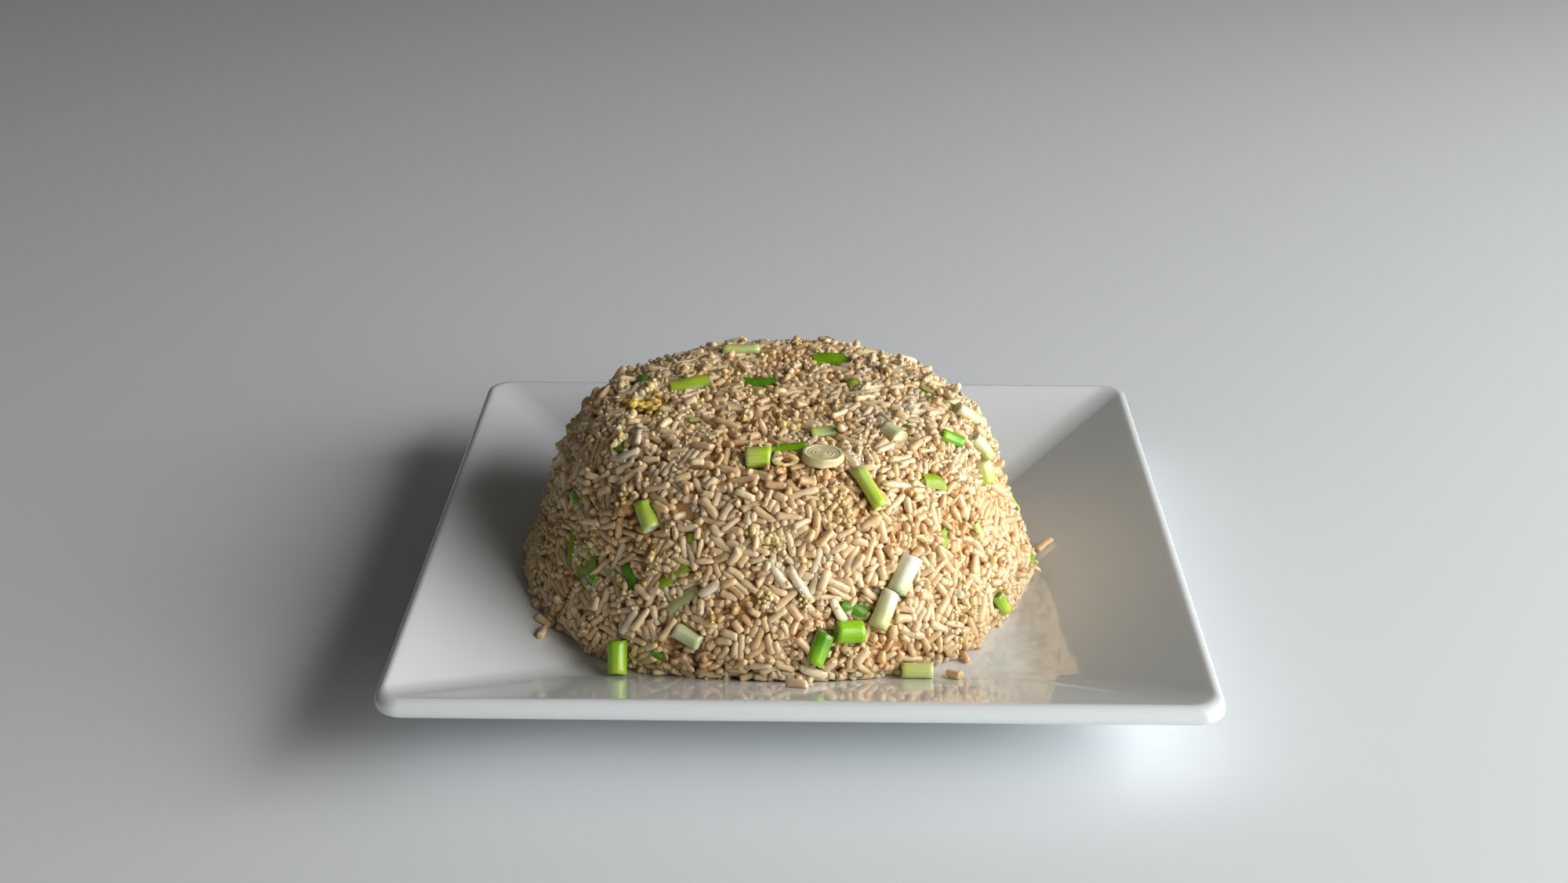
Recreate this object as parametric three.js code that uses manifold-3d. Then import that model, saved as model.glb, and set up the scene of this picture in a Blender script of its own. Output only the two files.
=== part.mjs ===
// A moulded heap of fried rice on a square porcelain plate.
// Millimetres, +Z up, the origin on the table under the middle of the plate, -Y towards the diner.
import * as THREE from "three";
import { mergeVertices } from "three/addons/utils/BufferGeometryUtils.js";
import Module from "manifold-3d";

const wasm = await Module();
wasm.setup();

// ---- driving dimensions -------------------------------------------------------------------
const SIDE = 254; // the plate is ten inches square
const RIM_Z = 28; // top of the rim above the table
const WELL_HALF = 73.4; // half the flat floor of the plate
const WELL_Z = 7.4; // top of the floor
const RIM_SLOPE = (RIM_Z - WELL_Z) / (SIDE / 2 - WELL_HALF);
const LIP_ROUND = 2.6; // radius of the rounded lip
const RIM_THICK = 5.6;
const CORNER = 8; // plan radius of the plate's corners
const FOOT_HALF = 66; // half the outside of the foot ring
const FOOT_WIDE = 6;
const BASE_Z = 2.4; // underside of the floor inside the foot ring
const CORNER_STEPS = 5;

const HEAP_X = -8.5; // the heap stands a little left of the middle
const HEAP_STEPS = 42;
const GAP = 0.3; // clearance kept between pieces that touch
// Outline of the heap: distance from its middle, height above the floor of the plate.
const HEAP = [
  [80, 0.4], [86, 2.5], [88, 6], [88.3, 10], [86.7, 16], [82.7, 24], [79, 33], [76.5, 42],
  [73.5, 50], [69.5, 57], [63, 62.5], [54, 66.5], [42, 68.5], [20, 69], [0, 69],
];

// ---- materials ----------------------------------------------------------------------------
const paint = (color, roughness = 0.45) => new THREE.MeshStandardMaterial({ color, roughness });
const PORCELAIN = 0xeceff0;
const RICE = 0xb79a72;
const LEAF = 0x6f9a2e;
const DARK_LEAF = 0x3f5c24;
const PALE = 0xc9d794;
const WHITE_STEM = 0xeceed8;
const EGG = 0xc9a24a;
const BROWN = 0x9c7650;

const part = new THREE.Group();
part.name = "fried_rice_plate";

// ---- solids and cuts ----------------------------------------------------------------------
// A geometry with its seam and pole points joined and its empty triangles dropped.
function welded(geometry) {
  const bare = geometry.clone();
  bare.deleteAttribute("normal");
  bare.deleteAttribute("uv");
  const joined = mergeVertices(bare, 1e-4);
  const index = joined.index.array;
  const kept = [];
  for (let i = 0; i < index.length; i += 3) {
    const [a, b, c] = [index[i], index[i + 1], index[i + 2]];
    if (a !== b && b !== c && c !== a) kept.push(a, b, c);
  }
  joined.setIndex(kept);
  return joined;
}

function solid(geometry) {
  const joined = welded(geometry);
  return new wasm.Manifold(new wasm.Mesh({
    numProp: 3,
    vertProperties: new Float32Array(joined.attributes.position.array),
    triVerts: new Uint32Array(joined.index.array),
  }));
}

function geometryOf(body) {
  const mesh = body.getMesh();
  const geometry = new THREE.BufferGeometry();
  geometry.setAttribute("position", new THREE.BufferAttribute(new Float32Array(mesh.vertProperties), 3));
  geometry.setIndex(new THREE.BufferAttribute(new Uint32Array(mesh.triVerts), 1));
  geometry.computeVertexNormals();
  return geometry;
}

function add(name, geometry, color, roughness) {
  const mesh = new THREE.Mesh(geometry, paint(color, roughness));
  mesh.name = name;
  part.add(mesh);
  return mesh;
}

// ---- the plate ----------------------------------------------------------------------------
// A turned profile pulled out square: each ring becomes a square of the same half side,
// with round corners of the radius given, and the same number of points on every corner.
function squareTurned(profile, corner) {
  const columns = 4 * (CORNER_STEPS + 1);
  const geometry = new THREE.LatheGeometry(profile, columns);
  geometry.rotateX(Math.PI / 2);
  const place = geometry.attributes.position;
  for (let column = 0; column <= columns; column += 1) {
    const which = Math.floor(column / (CORNER_STEPS + 1)) % 4;
    const step = column % (CORNER_STEPS + 1);
    const turn = (which * Math.PI) / 2;
    const angle = turn + (step / CORNER_STEPS) * (Math.PI / 2);
    for (let row = 0; row < profile.length; row += 1) {
      const half = profile[row].x;
      const round = Math.min(corner, half * 0.4);
      const middle = new THREE.Vector2(half - round, -(half - round))
        .rotateAround(new THREE.Vector2(), turn);
      place.setXY(
        column * profile.length + row,
        middle.x + round * Math.sin(angle),
        middle.y - round * Math.cos(angle),
      );
    }
  }
  return geometry;
}

const point = (half, z) => new THREE.Vector2(half, z);

// Points of a soft bend at a corner of the profile, from one straight side into the next.
function bend(before, corner, after, reach, steps) {
  const from = corner.clone().add(before.clone().sub(corner).setLength(reach));
  const to = corner.clone().add(after.clone().sub(corner).setLength(reach));
  return new THREE.QuadraticBezierCurve(from, corner, to).getPoints(steps);
}

// The eating face from the top of the lip down the slope to the middle, raised by a clearance.
const lipMiddle = point(SIDE / 2 - LIP_ROUND, RIM_Z - LIP_ROUND);
function lipPoint(turn) {
  const angle = turn * (Math.PI / 2 + Math.atan(RIM_SLOPE));
  return point(lipMiddle.x + LIP_ROUND * Math.cos(angle), lipMiddle.y + LIP_ROUND * Math.sin(angle));
}
function upperFace(raised) {
  const slopeTop = lipPoint(1).add(point(0, raised));
  const slopeFoot = point(WELL_HALF, WELL_Z + raised);
  const wellMiddle = point(0, WELL_Z + raised);
  const halfway = slopeTop.clone().lerp(slopeFoot, 0.5);
  return [slopeTop, halfway, ...bend(slopeTop, slopeFoot, wellMiddle, 4, 4),
    point(40, WELL_Z + raised), wellMiddle];
}

function plateProfile() {
  const edge = SIDE / 2;
  const underRim = (half) => RIM_Z - RIM_THICK - (edge - half) * RIM_SLOPE;
  const underStart = point(FOOT_HALF, Math.max(underRim(FOOT_HALF), 1.9));
  const lipLow = point(edge - 1.2, underRim(edge - 1.2));
  return [
    point(0, BASE_Z),
    point(FOOT_HALF - FOOT_WIDE - 2, BASE_Z),
    point(FOOT_HALF - FOOT_WIDE - 0.6, 0.6),
    point(FOOT_HALF - FOOT_WIDE, 0),
    point(FOOT_HALF - 0.8, 0),
    point(FOOT_HALF, 0.8),
    ...bend(point(FOOT_HALF, 0.8), underStart, lipLow, 1, 2),
    point(100, underRim(100)),
    lipLow,
    point(edge, RIM_Z - RIM_THICK + 1.2),
    lipPoint(0), lipPoint(0.25), lipPoint(0.5), lipPoint(0.75),
    ...upperFace(0),
  ];
}

const plateGeometry = welded(squareTurned(plateProfile(), CORNER));
add("plate", plateGeometry, PORCELAIN, 0.12);

// ---- the heap -----------------------------------------------------------------------------
const heapCurve = new THREE.SplineCurve(HEAP.map(([r, z]) => new THREE.Vector2(r, z)));

// How far the side of the heap swells past the plain turned shape, in each direction:
// squarer at the front corners, less deep from front to back, and uneven low down.
function swell(bearing, z) {
  const skirt = 1 - THREE.MathUtils.smoothstep(z, 4, 34);
  const outline = -1.2 - 1.6 * Math.cos(2 * bearing) - 1.2 * Math.cos(4 * bearing);
  const ragged = 1.1 * Math.sin(9 * bearing + 0.7) + 0.8 * Math.sin(17 * bearing + z * 0.25);
  const lumps = 0.55 * Math.sin(5 * bearing + z * 0.11) + 0.4 * Math.sin(11 * bearing - z * 0.17);
  return skirt * (outline + ragged) + lumps;
}

function heapPoint(radius, z, bearing) {
  const r = radius + swell(bearing, z) * Math.min(1, radius / 60);
  const dip = 0.5 * Math.sin(radius * 0.16 + 2 * bearing) * Math.min(1, radius / 30);
  const up = THREE.MathUtils.smoothstep(z, 50, 66);
  return new THREE.Vector3(
    HEAP_X + r * Math.sin(bearing),
    -r * Math.cos(bearing),
    WELL_Z + z + dip * up,
  );
}

function heapGeometry() {
  const outline = [point(0, 0.4), point(45, 0.4), ...heapCurve.getPoints(19)];
  const geometry = new THREE.LatheGeometry(outline, HEAP_STEPS);
  const place = geometry.attributes.position;
  for (let i = 0; i < place.count; i += 1) {
    const column = Math.floor(i / outline.length) % HEAP_STEPS;
    const row = outline[i % outline.length];
    const where = heapPoint(row.x, row.y, (column / HEAP_STEPS) * 2 * Math.PI);
    place.setXYZ(i, where.x, where.y, where.z);
  }
  return geometry;
}

// The room the plate takes from the heap: everything below its upper face, a gap higher.
function plateRoom() {
  return solid(squareTurned([
    point(0, -20),
    point(SIDE / 2, -20),
    ...upperFace(GAP * Math.hypot(1, RIM_SLOPE)),
  ], CORNER));
}

// ---- the pieces mixed into the rice --------------------------------------------------------
// Each is shaped along X round the origin, then stood on the heap by these readings:
// bearing (degrees round the heap, 0 at the front, + to the right), share (0 at the foot of the
// outline to 1 at the crown), turn (degrees from level), sunk (how deep its middle lies),
// tip (one end lifted) and roll (degrees about its own length).
function onHeap(bearing, share, turn, sunk, tip = 0, roll = 0) {
  const angle = THREE.MathUtils.degToRad(bearing);
  const on = heapCurve.getPointAt(share);
  const along = heapCurve.getTangentAt(share);
  const out = new THREE.Vector3(Math.sin(angle), -Math.cos(angle), 0);
  const right = new THREE.Vector3(Math.cos(angle), Math.sin(angle), 0);
  const upward = out.clone().multiplyScalar(along.x).add(new THREE.Vector3(0, 0, along.y));
  const away = new THREE.Vector3().crossVectors(right, upward);
  const frame = new THREE.Matrix4().makeBasis(right, upward, away);
  const middle = heapPoint(on.x, on.y, angle).addScaledVector(away, -sunk);
  return new THREE.Matrix4().setPosition(middle)
    .multiply(frame)
    .multiply(new THREE.Matrix4().makeRotationZ(THREE.MathUtils.degToRad(turn)))
    .multiply(new THREE.Matrix4().makeRotationY(THREE.MathUtils.degToRad(-tip)))
    .multiply(new THREE.Matrix4().makeRotationX(THREE.MathUtils.degToRad(roll)));
}

function onPlate(x, y, z, turn, tip) {
  return new THREE.Matrix4().setPosition(x, y, z)
    .multiply(new THREE.Matrix4().makeRotationZ(THREE.MathUtils.degToRad(turn)))
    .multiply(new THREE.Matrix4().makeRotationY(THREE.MathUtils.degToRad(-tip)));
}

// A cut length of green onion: a tube, squashed a little across. Its pocket in the heap has
// fewer sides, so the pocket's flats, not its corners, lie a gap away.
const TUBE_SIDES = 12;
const POCKET_SIDES = 10;
function tube(length, across, wall, squash = 1, grow = 0) {
  const r = grow > 0 ? (across / 2 + grow) / Math.cos(Math.PI / POCKET_SIDES) : across / 2;
  const half = length / 2 + grow;
  const inner = across / 2 - wall;
  const outside = [point(r, -half), point(r, half)];
  const profile = grow > 0 || inner < 0.4
    ? [point(0, -half), ...outside, point(0, half)]
    : [point(inner, -half), ...outside, point(inner, half), point(inner, -half)];
  const sides = grow > 0 ? POCKET_SIDES : TUBE_SIDES;
  return new THREE.LatheGeometry(profile, sides).rotateZ(-Math.PI / 2).scale(1, 1, squash);
}

// A strip of a split onion leaf: part of a tube wall, bowed across and along.
function strip(length, across, thick, bow, grow = 0) {
  const steps = 4;
  const spread = 1.15;
  const radius = across / 2 / Math.sin(spread);
  const outline = new THREE.Shape();
  const outer = [];
  const inner = [];
  for (let i = 0; i <= steps; i += 1) {
    const angle = -spread + (i / steps) * 2 * spread;
    const taper = Math.max(0.35, Math.cos(angle * 0.9));
    outer.push([(radius + grow) * Math.sin(angle) * (1 + grow / 3),
      (radius + grow) * Math.cos(angle) - radius * 0.7]);
    inner.push([(radius - thick * taper - grow) * Math.sin(angle) * (1 + grow / 3),
      (radius - thick * taper - grow) * Math.cos(angle) - radius * 0.7]);
  }
  outline.moveTo(...outer[0]);
  for (const [x, y] of [...outer.slice(1), ...inner.reverse()]) outline.lineTo(x, y);
  outline.closePath();
  const geometry = new THREE.ExtrudeGeometry(outline, {
    depth: length + 2 * grow, steps: 3, bevelEnabled: false,
  });
  geometry.translate(0, 0, -length / 2 - grow);
  // the shape's own X runs across, its Y outwards, and the extrusion along the piece
  geometry.applyMatrix4(new THREE.Matrix4().makeBasis(
    new THREE.Vector3(0, 1, 0), new THREE.Vector3(0, 0, 1), new THREE.Vector3(1, 0, 0)));
  const place = geometry.attributes.position;
  for (let i = 0; i < place.count; i += 1) {
    const along = place.getX(i) / (length / 2);
    place.setY(i, place.getY(i) * (1 - 0.25 * along * along) + bow * along * along);
    place.setZ(i, place.getZ(i) - 0.8 * along * along);
  }
  return geometry;
}

// A lump of egg or browned rice, uneven all round.
function lump(long, wide, high, seed, grow = 0) {
  const geometry = new THREE.IcosahedronGeometry(1, 2);
  const place = geometry.attributes.position;
  const here = new THREE.Vector3();
  for (let i = 0; i < place.count; i += 1) {
    here.fromBufferAttribute(place, i);
    const rough = 1 + 0.13 * Math.sin(5 * here.x + seed) * Math.sin(4 * here.y + 2 * seed)
      + 0.1 * Math.sin(9 * here.z + 3 * seed + 4 * here.x);
    place.setXYZ(i, here.x * (rough * long / 2 + grow), here.y * (rough * wide / 2 + grow),
      here.z * (rough * high / 2 + grow));
  }
  return geometry;
}

// name, colour, shape(grow), where it stands: whole degrees, hundredths of the outline's
// length, and turns and sizes in steps of five degrees and half a millimetre
const PIECES = [
  ["onion_tube_shoulder", LEAF, (g) => tube(14.5, 5, 1.2, 0.85, g), onHeap(27, 0.51, -80, 0.2)],
  ["onion_ring_slice", WHITE_STEM, (g) => tube(3, 13.5, 10, 1, g), onHeap(17, 0.62, 90, 0.3, 75)],
  ["onion_cut_pale", PALE, (g) => tube(8, 7.5, 1.8, 0.9, g), onHeap(-6, 0.63, 5, 1.3)],
  ["onion_strip_top", LEAF, (g) => strip(11.5, 5, 1.3, 0.5, g), onHeap(6, 0.68, 10, 0, 0, 10)],
  ["egg_curl", EGG, (g) => lump(8, 4.5, 4.5, 1.3, g), onHeap(4, 0.62, 5, 0.8)],
  ["onion_stem_round", PALE, (g) => tube(7.5, 6.5, 1.8, 0.9, g), onHeap(51, 0.64, -100, 1)],
  ["onion_arc_back", LEAF, (g) => strip(16.5, 5, 1.3, 2.2, g), onHeap(95, 0.6, -125, 0.4, 0, -30)],
  ["onion_pale_side", PALE, (g) => tube(9.5, 5, 1.4, 0.9, g), onHeap(78, 0.46, -75, 0.8)],
  ["onion_tube_side", PALE, (g) => tube(7.5, 7, 1.7, 0.9, g), onHeap(72, 0.41, 75, 0.5)],
  ["onion_cut_side", LEAF, (g) => tube(8, 5, 1.2, 0.8, g), onHeap(68, 0.54, -60, 1)],
  ["onion_bit_front", LEAF, (g) => strip(9, 6, 1.3, 0.3, g), onHeap(49, 0.47, -30, 0.2)],
  ["onion_stem_white", WHITE_STEM, (g) => tube(12.5, 7, 3.4, 1, g), onHeap(32, 0.29, 50, 0.9)],
  ["onion_stem_pale", PALE, (g) => tube(12, 6.5, 1.8, 1, g), onHeap(25.5, 0.22, 55, 0.5)],
  ["onion_tube_green", LEAF, (g) => tube(9, 7.5, 1.3, 0.95, g), onHeap(17, 0.18, -5, 0.6)],
  ["onion_curl_green", LEAF, (g) => tube(10.5, 6, 1.3, 0.8, g), onHeap(10, 0.15, 65, 0.4)],
  ["onion_stem_low", PALE, (g) => tube(9, 5.5, 1.8, 0.95, g), onHeap(-19, 0.16, -20, 0.8)],
  ["onion_split_left", LEAF, (g) => strip(12.5, 4, 1.2, 0.4, g), onHeap(-24, 0.3, 40, 0.2)],
  ["onion_split_right", PALE, (g) => strip(12.5, 4.5, 1.3, 0.4, g), onHeap(-21, 0.25, 45, 0.3)],
  ["onion_stem_olive", PALE, (g) => tube(9.5, 6, 1.5, 0.85, g), onHeap(-34, 0.42, -50, 0.8)],
  ["onion_strip_left", LEAF, (g) => strip(11.5, 4.5, 1.2, 0.3, g), onHeap(-59, 0.26, -75, 0.2)],
  ["onion_cut_left", LEAF, (g) => strip(10.5, 5, 1.3, 0.3, g), onHeap(-51, 0.24, 50, 0.2)],
  ["onion_leaf_left", DARK_LEAF, (g) => strip(8, 5, 1.1, 0.4, g), onHeap(-36, 0.27, -45, 0.3)],
  ["onion_leaf_teal", DARK_LEAF, (g) => strip(9, 4, 1.1, 0.3, g), onHeap(-43, 0.26, -10, 0.3)],
  ["onion_leaf_under", DARK_LEAF, (g) => strip(9.5, 4.5, 1.1, 0.4, g), onHeap(19, 0.23, -20, 0.6)],
  ["onion_stem_buried", PALE, (g) => tube(8.5, 5.5, 1.5, 0.8, g), onHeap(25, 0.74, -5, 1.6)],
  ["onion_pale_edge", PALE, (g) => tube(11, 5.5, 1.4, 0.8, g), onHeap(88, 0.52, -80, 0.6)],
  ["onion_leaf_rear", DARK_LEAF, (g) => strip(10.5, 4.5, 1.1, 0.5, g), onHeap(-130, 0.57, 110, 0.3)],
  ["onion_leaf_crown", LEAF, (g) => strip(14, 7, 1.3, 1, g), onHeap(-98, 0.78, 120, 0, 0, 40)],
  ["onion_leaf_dark", DARK_LEAF, (g) => strip(11, 6.5, 1.2, 0.8, g), onHeap(-145, 0.92, 140, 0.2, 0, 25)],
  ["onion_leaf_back", LEAF, (g) => strip(12, 7, 1.3, 0.6, g), onHeap(150, 0.74, -145, 0, 0, 40)],
  ["onion_tube_back", PALE, (g) => tube(13, 5, 1.4, 0.8, g), onHeap(-160, 0.7, 165, 0.6)],
  ["onion_cut_right", LEAF, (g) => tube(8, 5, 1.3, 0.8, g), onHeap(58, 0.13, -65, 0.6)],
  ["egg_crown", EGG, (g) => lump(13, 14.5, 6.5, 2.4, g), onHeap(-80, 0.67, 120, 0.9)],
  ["rice_crust", BROWN, (g) => lump(9.5, 6.5, 5, 0.4, g), onHeap(-19, 0.09, -30, 1)],
  ["onion_tube_loose", LEAF, (g) => tube(10, 5.5, 1.2, 0.9, g), onPlate(37.5, -75, 10.9, 0, 0)],
  ["onion_tube_leaning", LEAF, (g) => tube(10.5, 6.5, 1.3, 0.95, g), onPlate(-58.5, -74, 14, 90, 60)],
];

let heap = solid(heapGeometry()).subtract(plateRoom());
for (const [, , shape, where] of PIECES) heap = heap.subtract(solid(shape(GAP).applyMatrix4(where)));
const pieces = heap.decompose();
pieces.sort((a, b) => b.volume() - a.volume());
add("rice_heap", geometryOf(pieces[0]), RICE, 0.6);
for (const [name, color, shape, where] of PIECES) {
  add(name, welded(shape(0).applyMatrix4(where)), color);
}

export default part;
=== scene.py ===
# %% [markdown]
# # A moulded heap of fried rice on a square plate
#
# The real dish is a bowlful of fried rice turned out onto a porcelain plate. Thousands of
# grains are pressed together, with cut green onion and egg between them. The CAD model gives
# the true outline of the heap and the place of every larger piece, and this script fills that
# outline with real grains and gives every piece its finish. All lengths that a person would
# measure are in millimetres here, and are turned into metres when a mesh is made.

# %% Load the frame
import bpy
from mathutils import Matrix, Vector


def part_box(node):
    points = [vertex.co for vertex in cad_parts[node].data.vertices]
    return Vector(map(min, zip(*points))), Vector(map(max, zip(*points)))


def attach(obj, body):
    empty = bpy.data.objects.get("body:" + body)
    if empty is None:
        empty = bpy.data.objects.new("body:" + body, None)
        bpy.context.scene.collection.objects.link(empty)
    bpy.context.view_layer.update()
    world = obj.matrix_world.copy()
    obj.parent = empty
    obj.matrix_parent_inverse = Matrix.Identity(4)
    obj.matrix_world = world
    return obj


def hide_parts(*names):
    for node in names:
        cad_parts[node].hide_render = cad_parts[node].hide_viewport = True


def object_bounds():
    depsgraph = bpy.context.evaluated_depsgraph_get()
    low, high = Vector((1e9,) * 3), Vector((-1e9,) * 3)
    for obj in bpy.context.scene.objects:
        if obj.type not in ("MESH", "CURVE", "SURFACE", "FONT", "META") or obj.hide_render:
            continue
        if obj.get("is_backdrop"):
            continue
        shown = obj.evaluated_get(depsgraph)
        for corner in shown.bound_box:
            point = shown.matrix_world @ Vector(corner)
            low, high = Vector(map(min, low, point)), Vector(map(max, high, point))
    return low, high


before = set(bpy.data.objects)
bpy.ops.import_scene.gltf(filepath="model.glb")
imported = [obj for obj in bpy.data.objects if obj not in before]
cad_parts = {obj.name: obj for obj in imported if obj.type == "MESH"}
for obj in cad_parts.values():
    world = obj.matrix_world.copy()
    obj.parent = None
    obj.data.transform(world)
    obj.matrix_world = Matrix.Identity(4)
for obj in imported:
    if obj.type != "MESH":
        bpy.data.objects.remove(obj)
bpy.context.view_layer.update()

# %% Tools used all through
import math
import time

import bmesh
import bpy
import numpy as np
from mathutils import Matrix, Vector
from mathutils.bvhtree import BVHTree

MM = 0.001
rng = np.random.default_rng(21)
started = time.time()
print("numpy", np.__version__, "and Blender", bpy.app.version_string)

# %% [markdown]
# ## Small helpers
#
# A bmesh is Blender's editable mesh in memory. It is written into a mesh datablock when it is
# finished, and an object shows that datablock. Every piece of food rides on the one CAD body,
# "root", and says which CAD node it stands for, so one helper does all three steps. The
# object itself stays at the origin and the place is in the vertices, because patterns on
# Object coordinates would slide if an object were moved later.

# %% A bmesh into a piece
def keep(name, mesh, material, stands_for=()):
    piece = bpy.data.objects.new(name, mesh)
    bpy.context.scene.collection.objects.link(piece)
    mesh.materials.append(material)
    mesh.shade_smooth()
    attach(piece, "root")
    if stands_for:
        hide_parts(*stands_for)
    return piece


def mesh_from(bm, name):
    bmesh.ops.recalc_face_normals(bm, faces=bm.faces[:])
    mesh = bpy.data.meshes.new(name)
    bm.to_mesh(mesh)
    bm.free()
    return mesh


def colour(red, green, blue):
    """A colour given as 0 to 255 on screen, as Blender's linear values."""
    def linear(value):
        value /= 255
        return value / 12.92 if value <= 0.04045 else ((value + 0.055) / 1.055) ** 2.4
    return (linear(red), linear(green), linear(blue), 1)


def unit(rows):
    """Each row as a direction of length 1."""
    return rows / np.linalg.norm(rows, axis=1, keepdims=True)


def square_to(rows, directions):
    """Each row without its part along the direction that belongs to it."""
    return rows - (rows * directions).sum(1, keepdims=True) * directions


print("helpers ready")

# %% [markdown]
# ## Materials
#
# Blender's Principled BSDF is one shader node with a socket for each property of a surface:
# base colour, roughness, coat and so on. A value that is the same all over goes straight
# onto its socket. Only the base colour, and here and there a bump, is worked out by nodes.

# %% Start a material
def new_material(name, roughness, coat=0.0, subsurface=0.0, reach=1.0, tint=(1.0, 0.66, 0.38)):
    made = bpy.data.materials.new(name)
    made.use_nodes = True
    shader = made.node_tree.nodes["Principled BSDF"]
    shader.inputs["Roughness"].default_value = roughness
    shader.inputs["Coat Weight"].default_value = coat
    shader.inputs["Coat Roughness"].default_value = 0.14
    shader.inputs["Subsurface Weight"].default_value = subsurface
    shader.inputs["Subsurface Scale"].default_value = reach * MM
    shader.inputs["Subsurface Radius"].default_value = tint
    return made, made.node_tree, shader


def add_node(tree, kind, **settings):
    made = tree.nodes.new(kind)
    for key, value in settings.items():
        setattr(made, key, value)
    return made


print("a material can be started")

# %% Nodes for patterns, ramps and mixes
def object_place(tree):
    return add_node(tree, "ShaderNodeTexCoord").outputs["Object"]


def noise(tree, vector, scale, detail=2):
    """A noise pattern's value; on Object coordinates the scale is in lumps per metre."""
    made = add_node(tree, "ShaderNodeTexNoise")
    made.inputs["Scale"].default_value = scale
    made.inputs["Detail"].default_value = detail
    tree.links.new(vector, made.inputs["Vector"])
    return made.outputs["Fac"]


def stretched(tree, vector, scale):
    made = add_node(tree, "ShaderNodeMapping")
    made.inputs["Scale"].default_value = scale
    tree.links.new(vector, made.inputs["Vector"])
    return made.outputs["Vector"]


def xyz_of(tree, vector):
    """A vector's X, Y and Z, as sockets."""
    made = add_node(tree, "ShaderNodeSeparateXYZ")
    tree.links.new(vector, made.inputs["Vector"])
    return made.outputs


def roughen(tree, shader, size, strength, height):
    """A fine bump on Object coordinates; size is in lumps per metre, height in mm."""
    bump = add_node(tree, "ShaderNodeBump")
    bump.inputs["Strength"].default_value = strength
    bump.inputs["Distance"].default_value = height * MM
    tree.links.new(noise(tree, object_place(tree), size), bump.inputs["Height"])
    tree.links.new(bump.outputs["Normal"], shader.inputs["Normal"])


def ramp(tree, stops, factor):
    """A colour ramp through (place, colour) stops, driven by the factor."""
    made = add_node(tree, "ShaderNodeValToRGB")
    points = made.color_ramp.elements
    while len(points) < len(stops):
        points.new(0.5)
    for point, (place, tone) in zip(points, stops):
        point.position = place
        point.color = tone
    tree.links.new(factor, made.inputs["Fac"])
    return made.outputs["Color"]


def maths(tree, operation, first, second=None):
    made = add_node(tree, "ShaderNodeMath", operation=operation)
    for socket, value in zip(made.inputs, (first, second)):
        if isinstance(value, (int, float)):
            socket.default_value = value
        elif value is not None:
            tree.links.new(value, socket)
    return made.outputs["Value"]


def clamped(tree, value):
    return maths(tree, "MAXIMUM", maths(tree, "MINIMUM", value, 1.0), 0.0)


def grey(value):
    return (value, value, value, 1)


def mixed(tree, share, first, second):
    """Two colours mixed; the share may be a number or a socket."""
    made = add_node(tree, "ShaderNodeMix", data_type="RGBA")
    for socket, value in ((made.inputs["Factor"], share), (made.inputs["A"], first),
                          (made.inputs["B"], second)):
        if isinstance(value, (int, float, tuple)):
            socket.default_value = value
        else:
            tree.links.new(value, socket)
    return made.outputs["Result"]


print("material helpers ready")

# %% [markdown]
# ## The glaze of the plate
#
# White porcelain is smooth glass over white clay. The shader needs a near-white base, a
# low roughness and a faint, slow waviness, because a perfectly flat mirror looks like
# plastic. The waviness is a bump, read from Object coordinates.

# %% Porcelain
def porcelain():
    made, tree, shader = new_material("porcelain_glaze", roughness=0.09, coat=0.35)
    shader.inputs["Base Color"].default_value = colour(227, 232, 234)
    shader.inputs["Coat Roughness"].default_value = 0.03
    shader.inputs["IOR"].default_value = 1.52
    roughen(tree, shader, size=22, strength=0.12, height=0.6)
    return made


glaze = porcelain()
print("made", glaze.name)

# %% [markdown]
# ## The plate
#
# The plate is a square ring drawn out step by step. One rounded square is made from a circle
# of four points whose points are bevelled. Each step extrudes the ring's edges, then pulls
# the four corners in or out and up or down, so the corner keeps its radius and the mitre
# lines run straight. The sizes are read off the CAD node's own box.

# %% Sizes of the plate
plate_low, plate_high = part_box("plate")
HALF = plate_high.x / MM
RIM_Z = plate_high.z / MM
CORNER = 8.0
WELL_HALF = 0.578 * HALF
WELL_Z = 0.264 * RIM_Z
SLOPE = (RIM_Z - WELL_Z) / (HALF - WELL_HALF)
RIM_THICK = 5.6
LIP = 2.6
FOOT = 0.52 * HALF
print("plate", round(2 * HALF), "mm square, rim at", round(RIM_Z, 1), "floor at", round(WELL_Z, 1))


def plate_height(x, y):
    """Height of the eating face over a point of the plate, in mm."""
    out = np.maximum(np.abs(x), np.abs(y)) - WELL_HALF
    return WELL_Z + np.maximum(out, 0) * SLOPE


# %% The plate's profile
def arc(middle, radius, start, end, steps):
    """Points of an arc in the profile plane, angles in degrees."""
    angles = np.radians(np.linspace(start, end, steps + 1))
    return [(middle[0] + radius * math.cos(a), middle[1] + radius * math.sin(a)) for a in angles]


def soft_corner(before, corner, after, reach, steps):
    """A soft bend that starts and ends at a reach from the corner."""
    here = Vector(corner)
    first = here + (Vector(before) - here).normalized() * reach
    last = here + (Vector(after) - here).normalized() * reach
    shares = np.linspace(0, 1, steps + 1)
    bent = [first * (1 - s) ** 2 + here * 2 * s * (1 - s) + last * s * s for s in shares]
    return [tuple(p) for p in bent]


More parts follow.
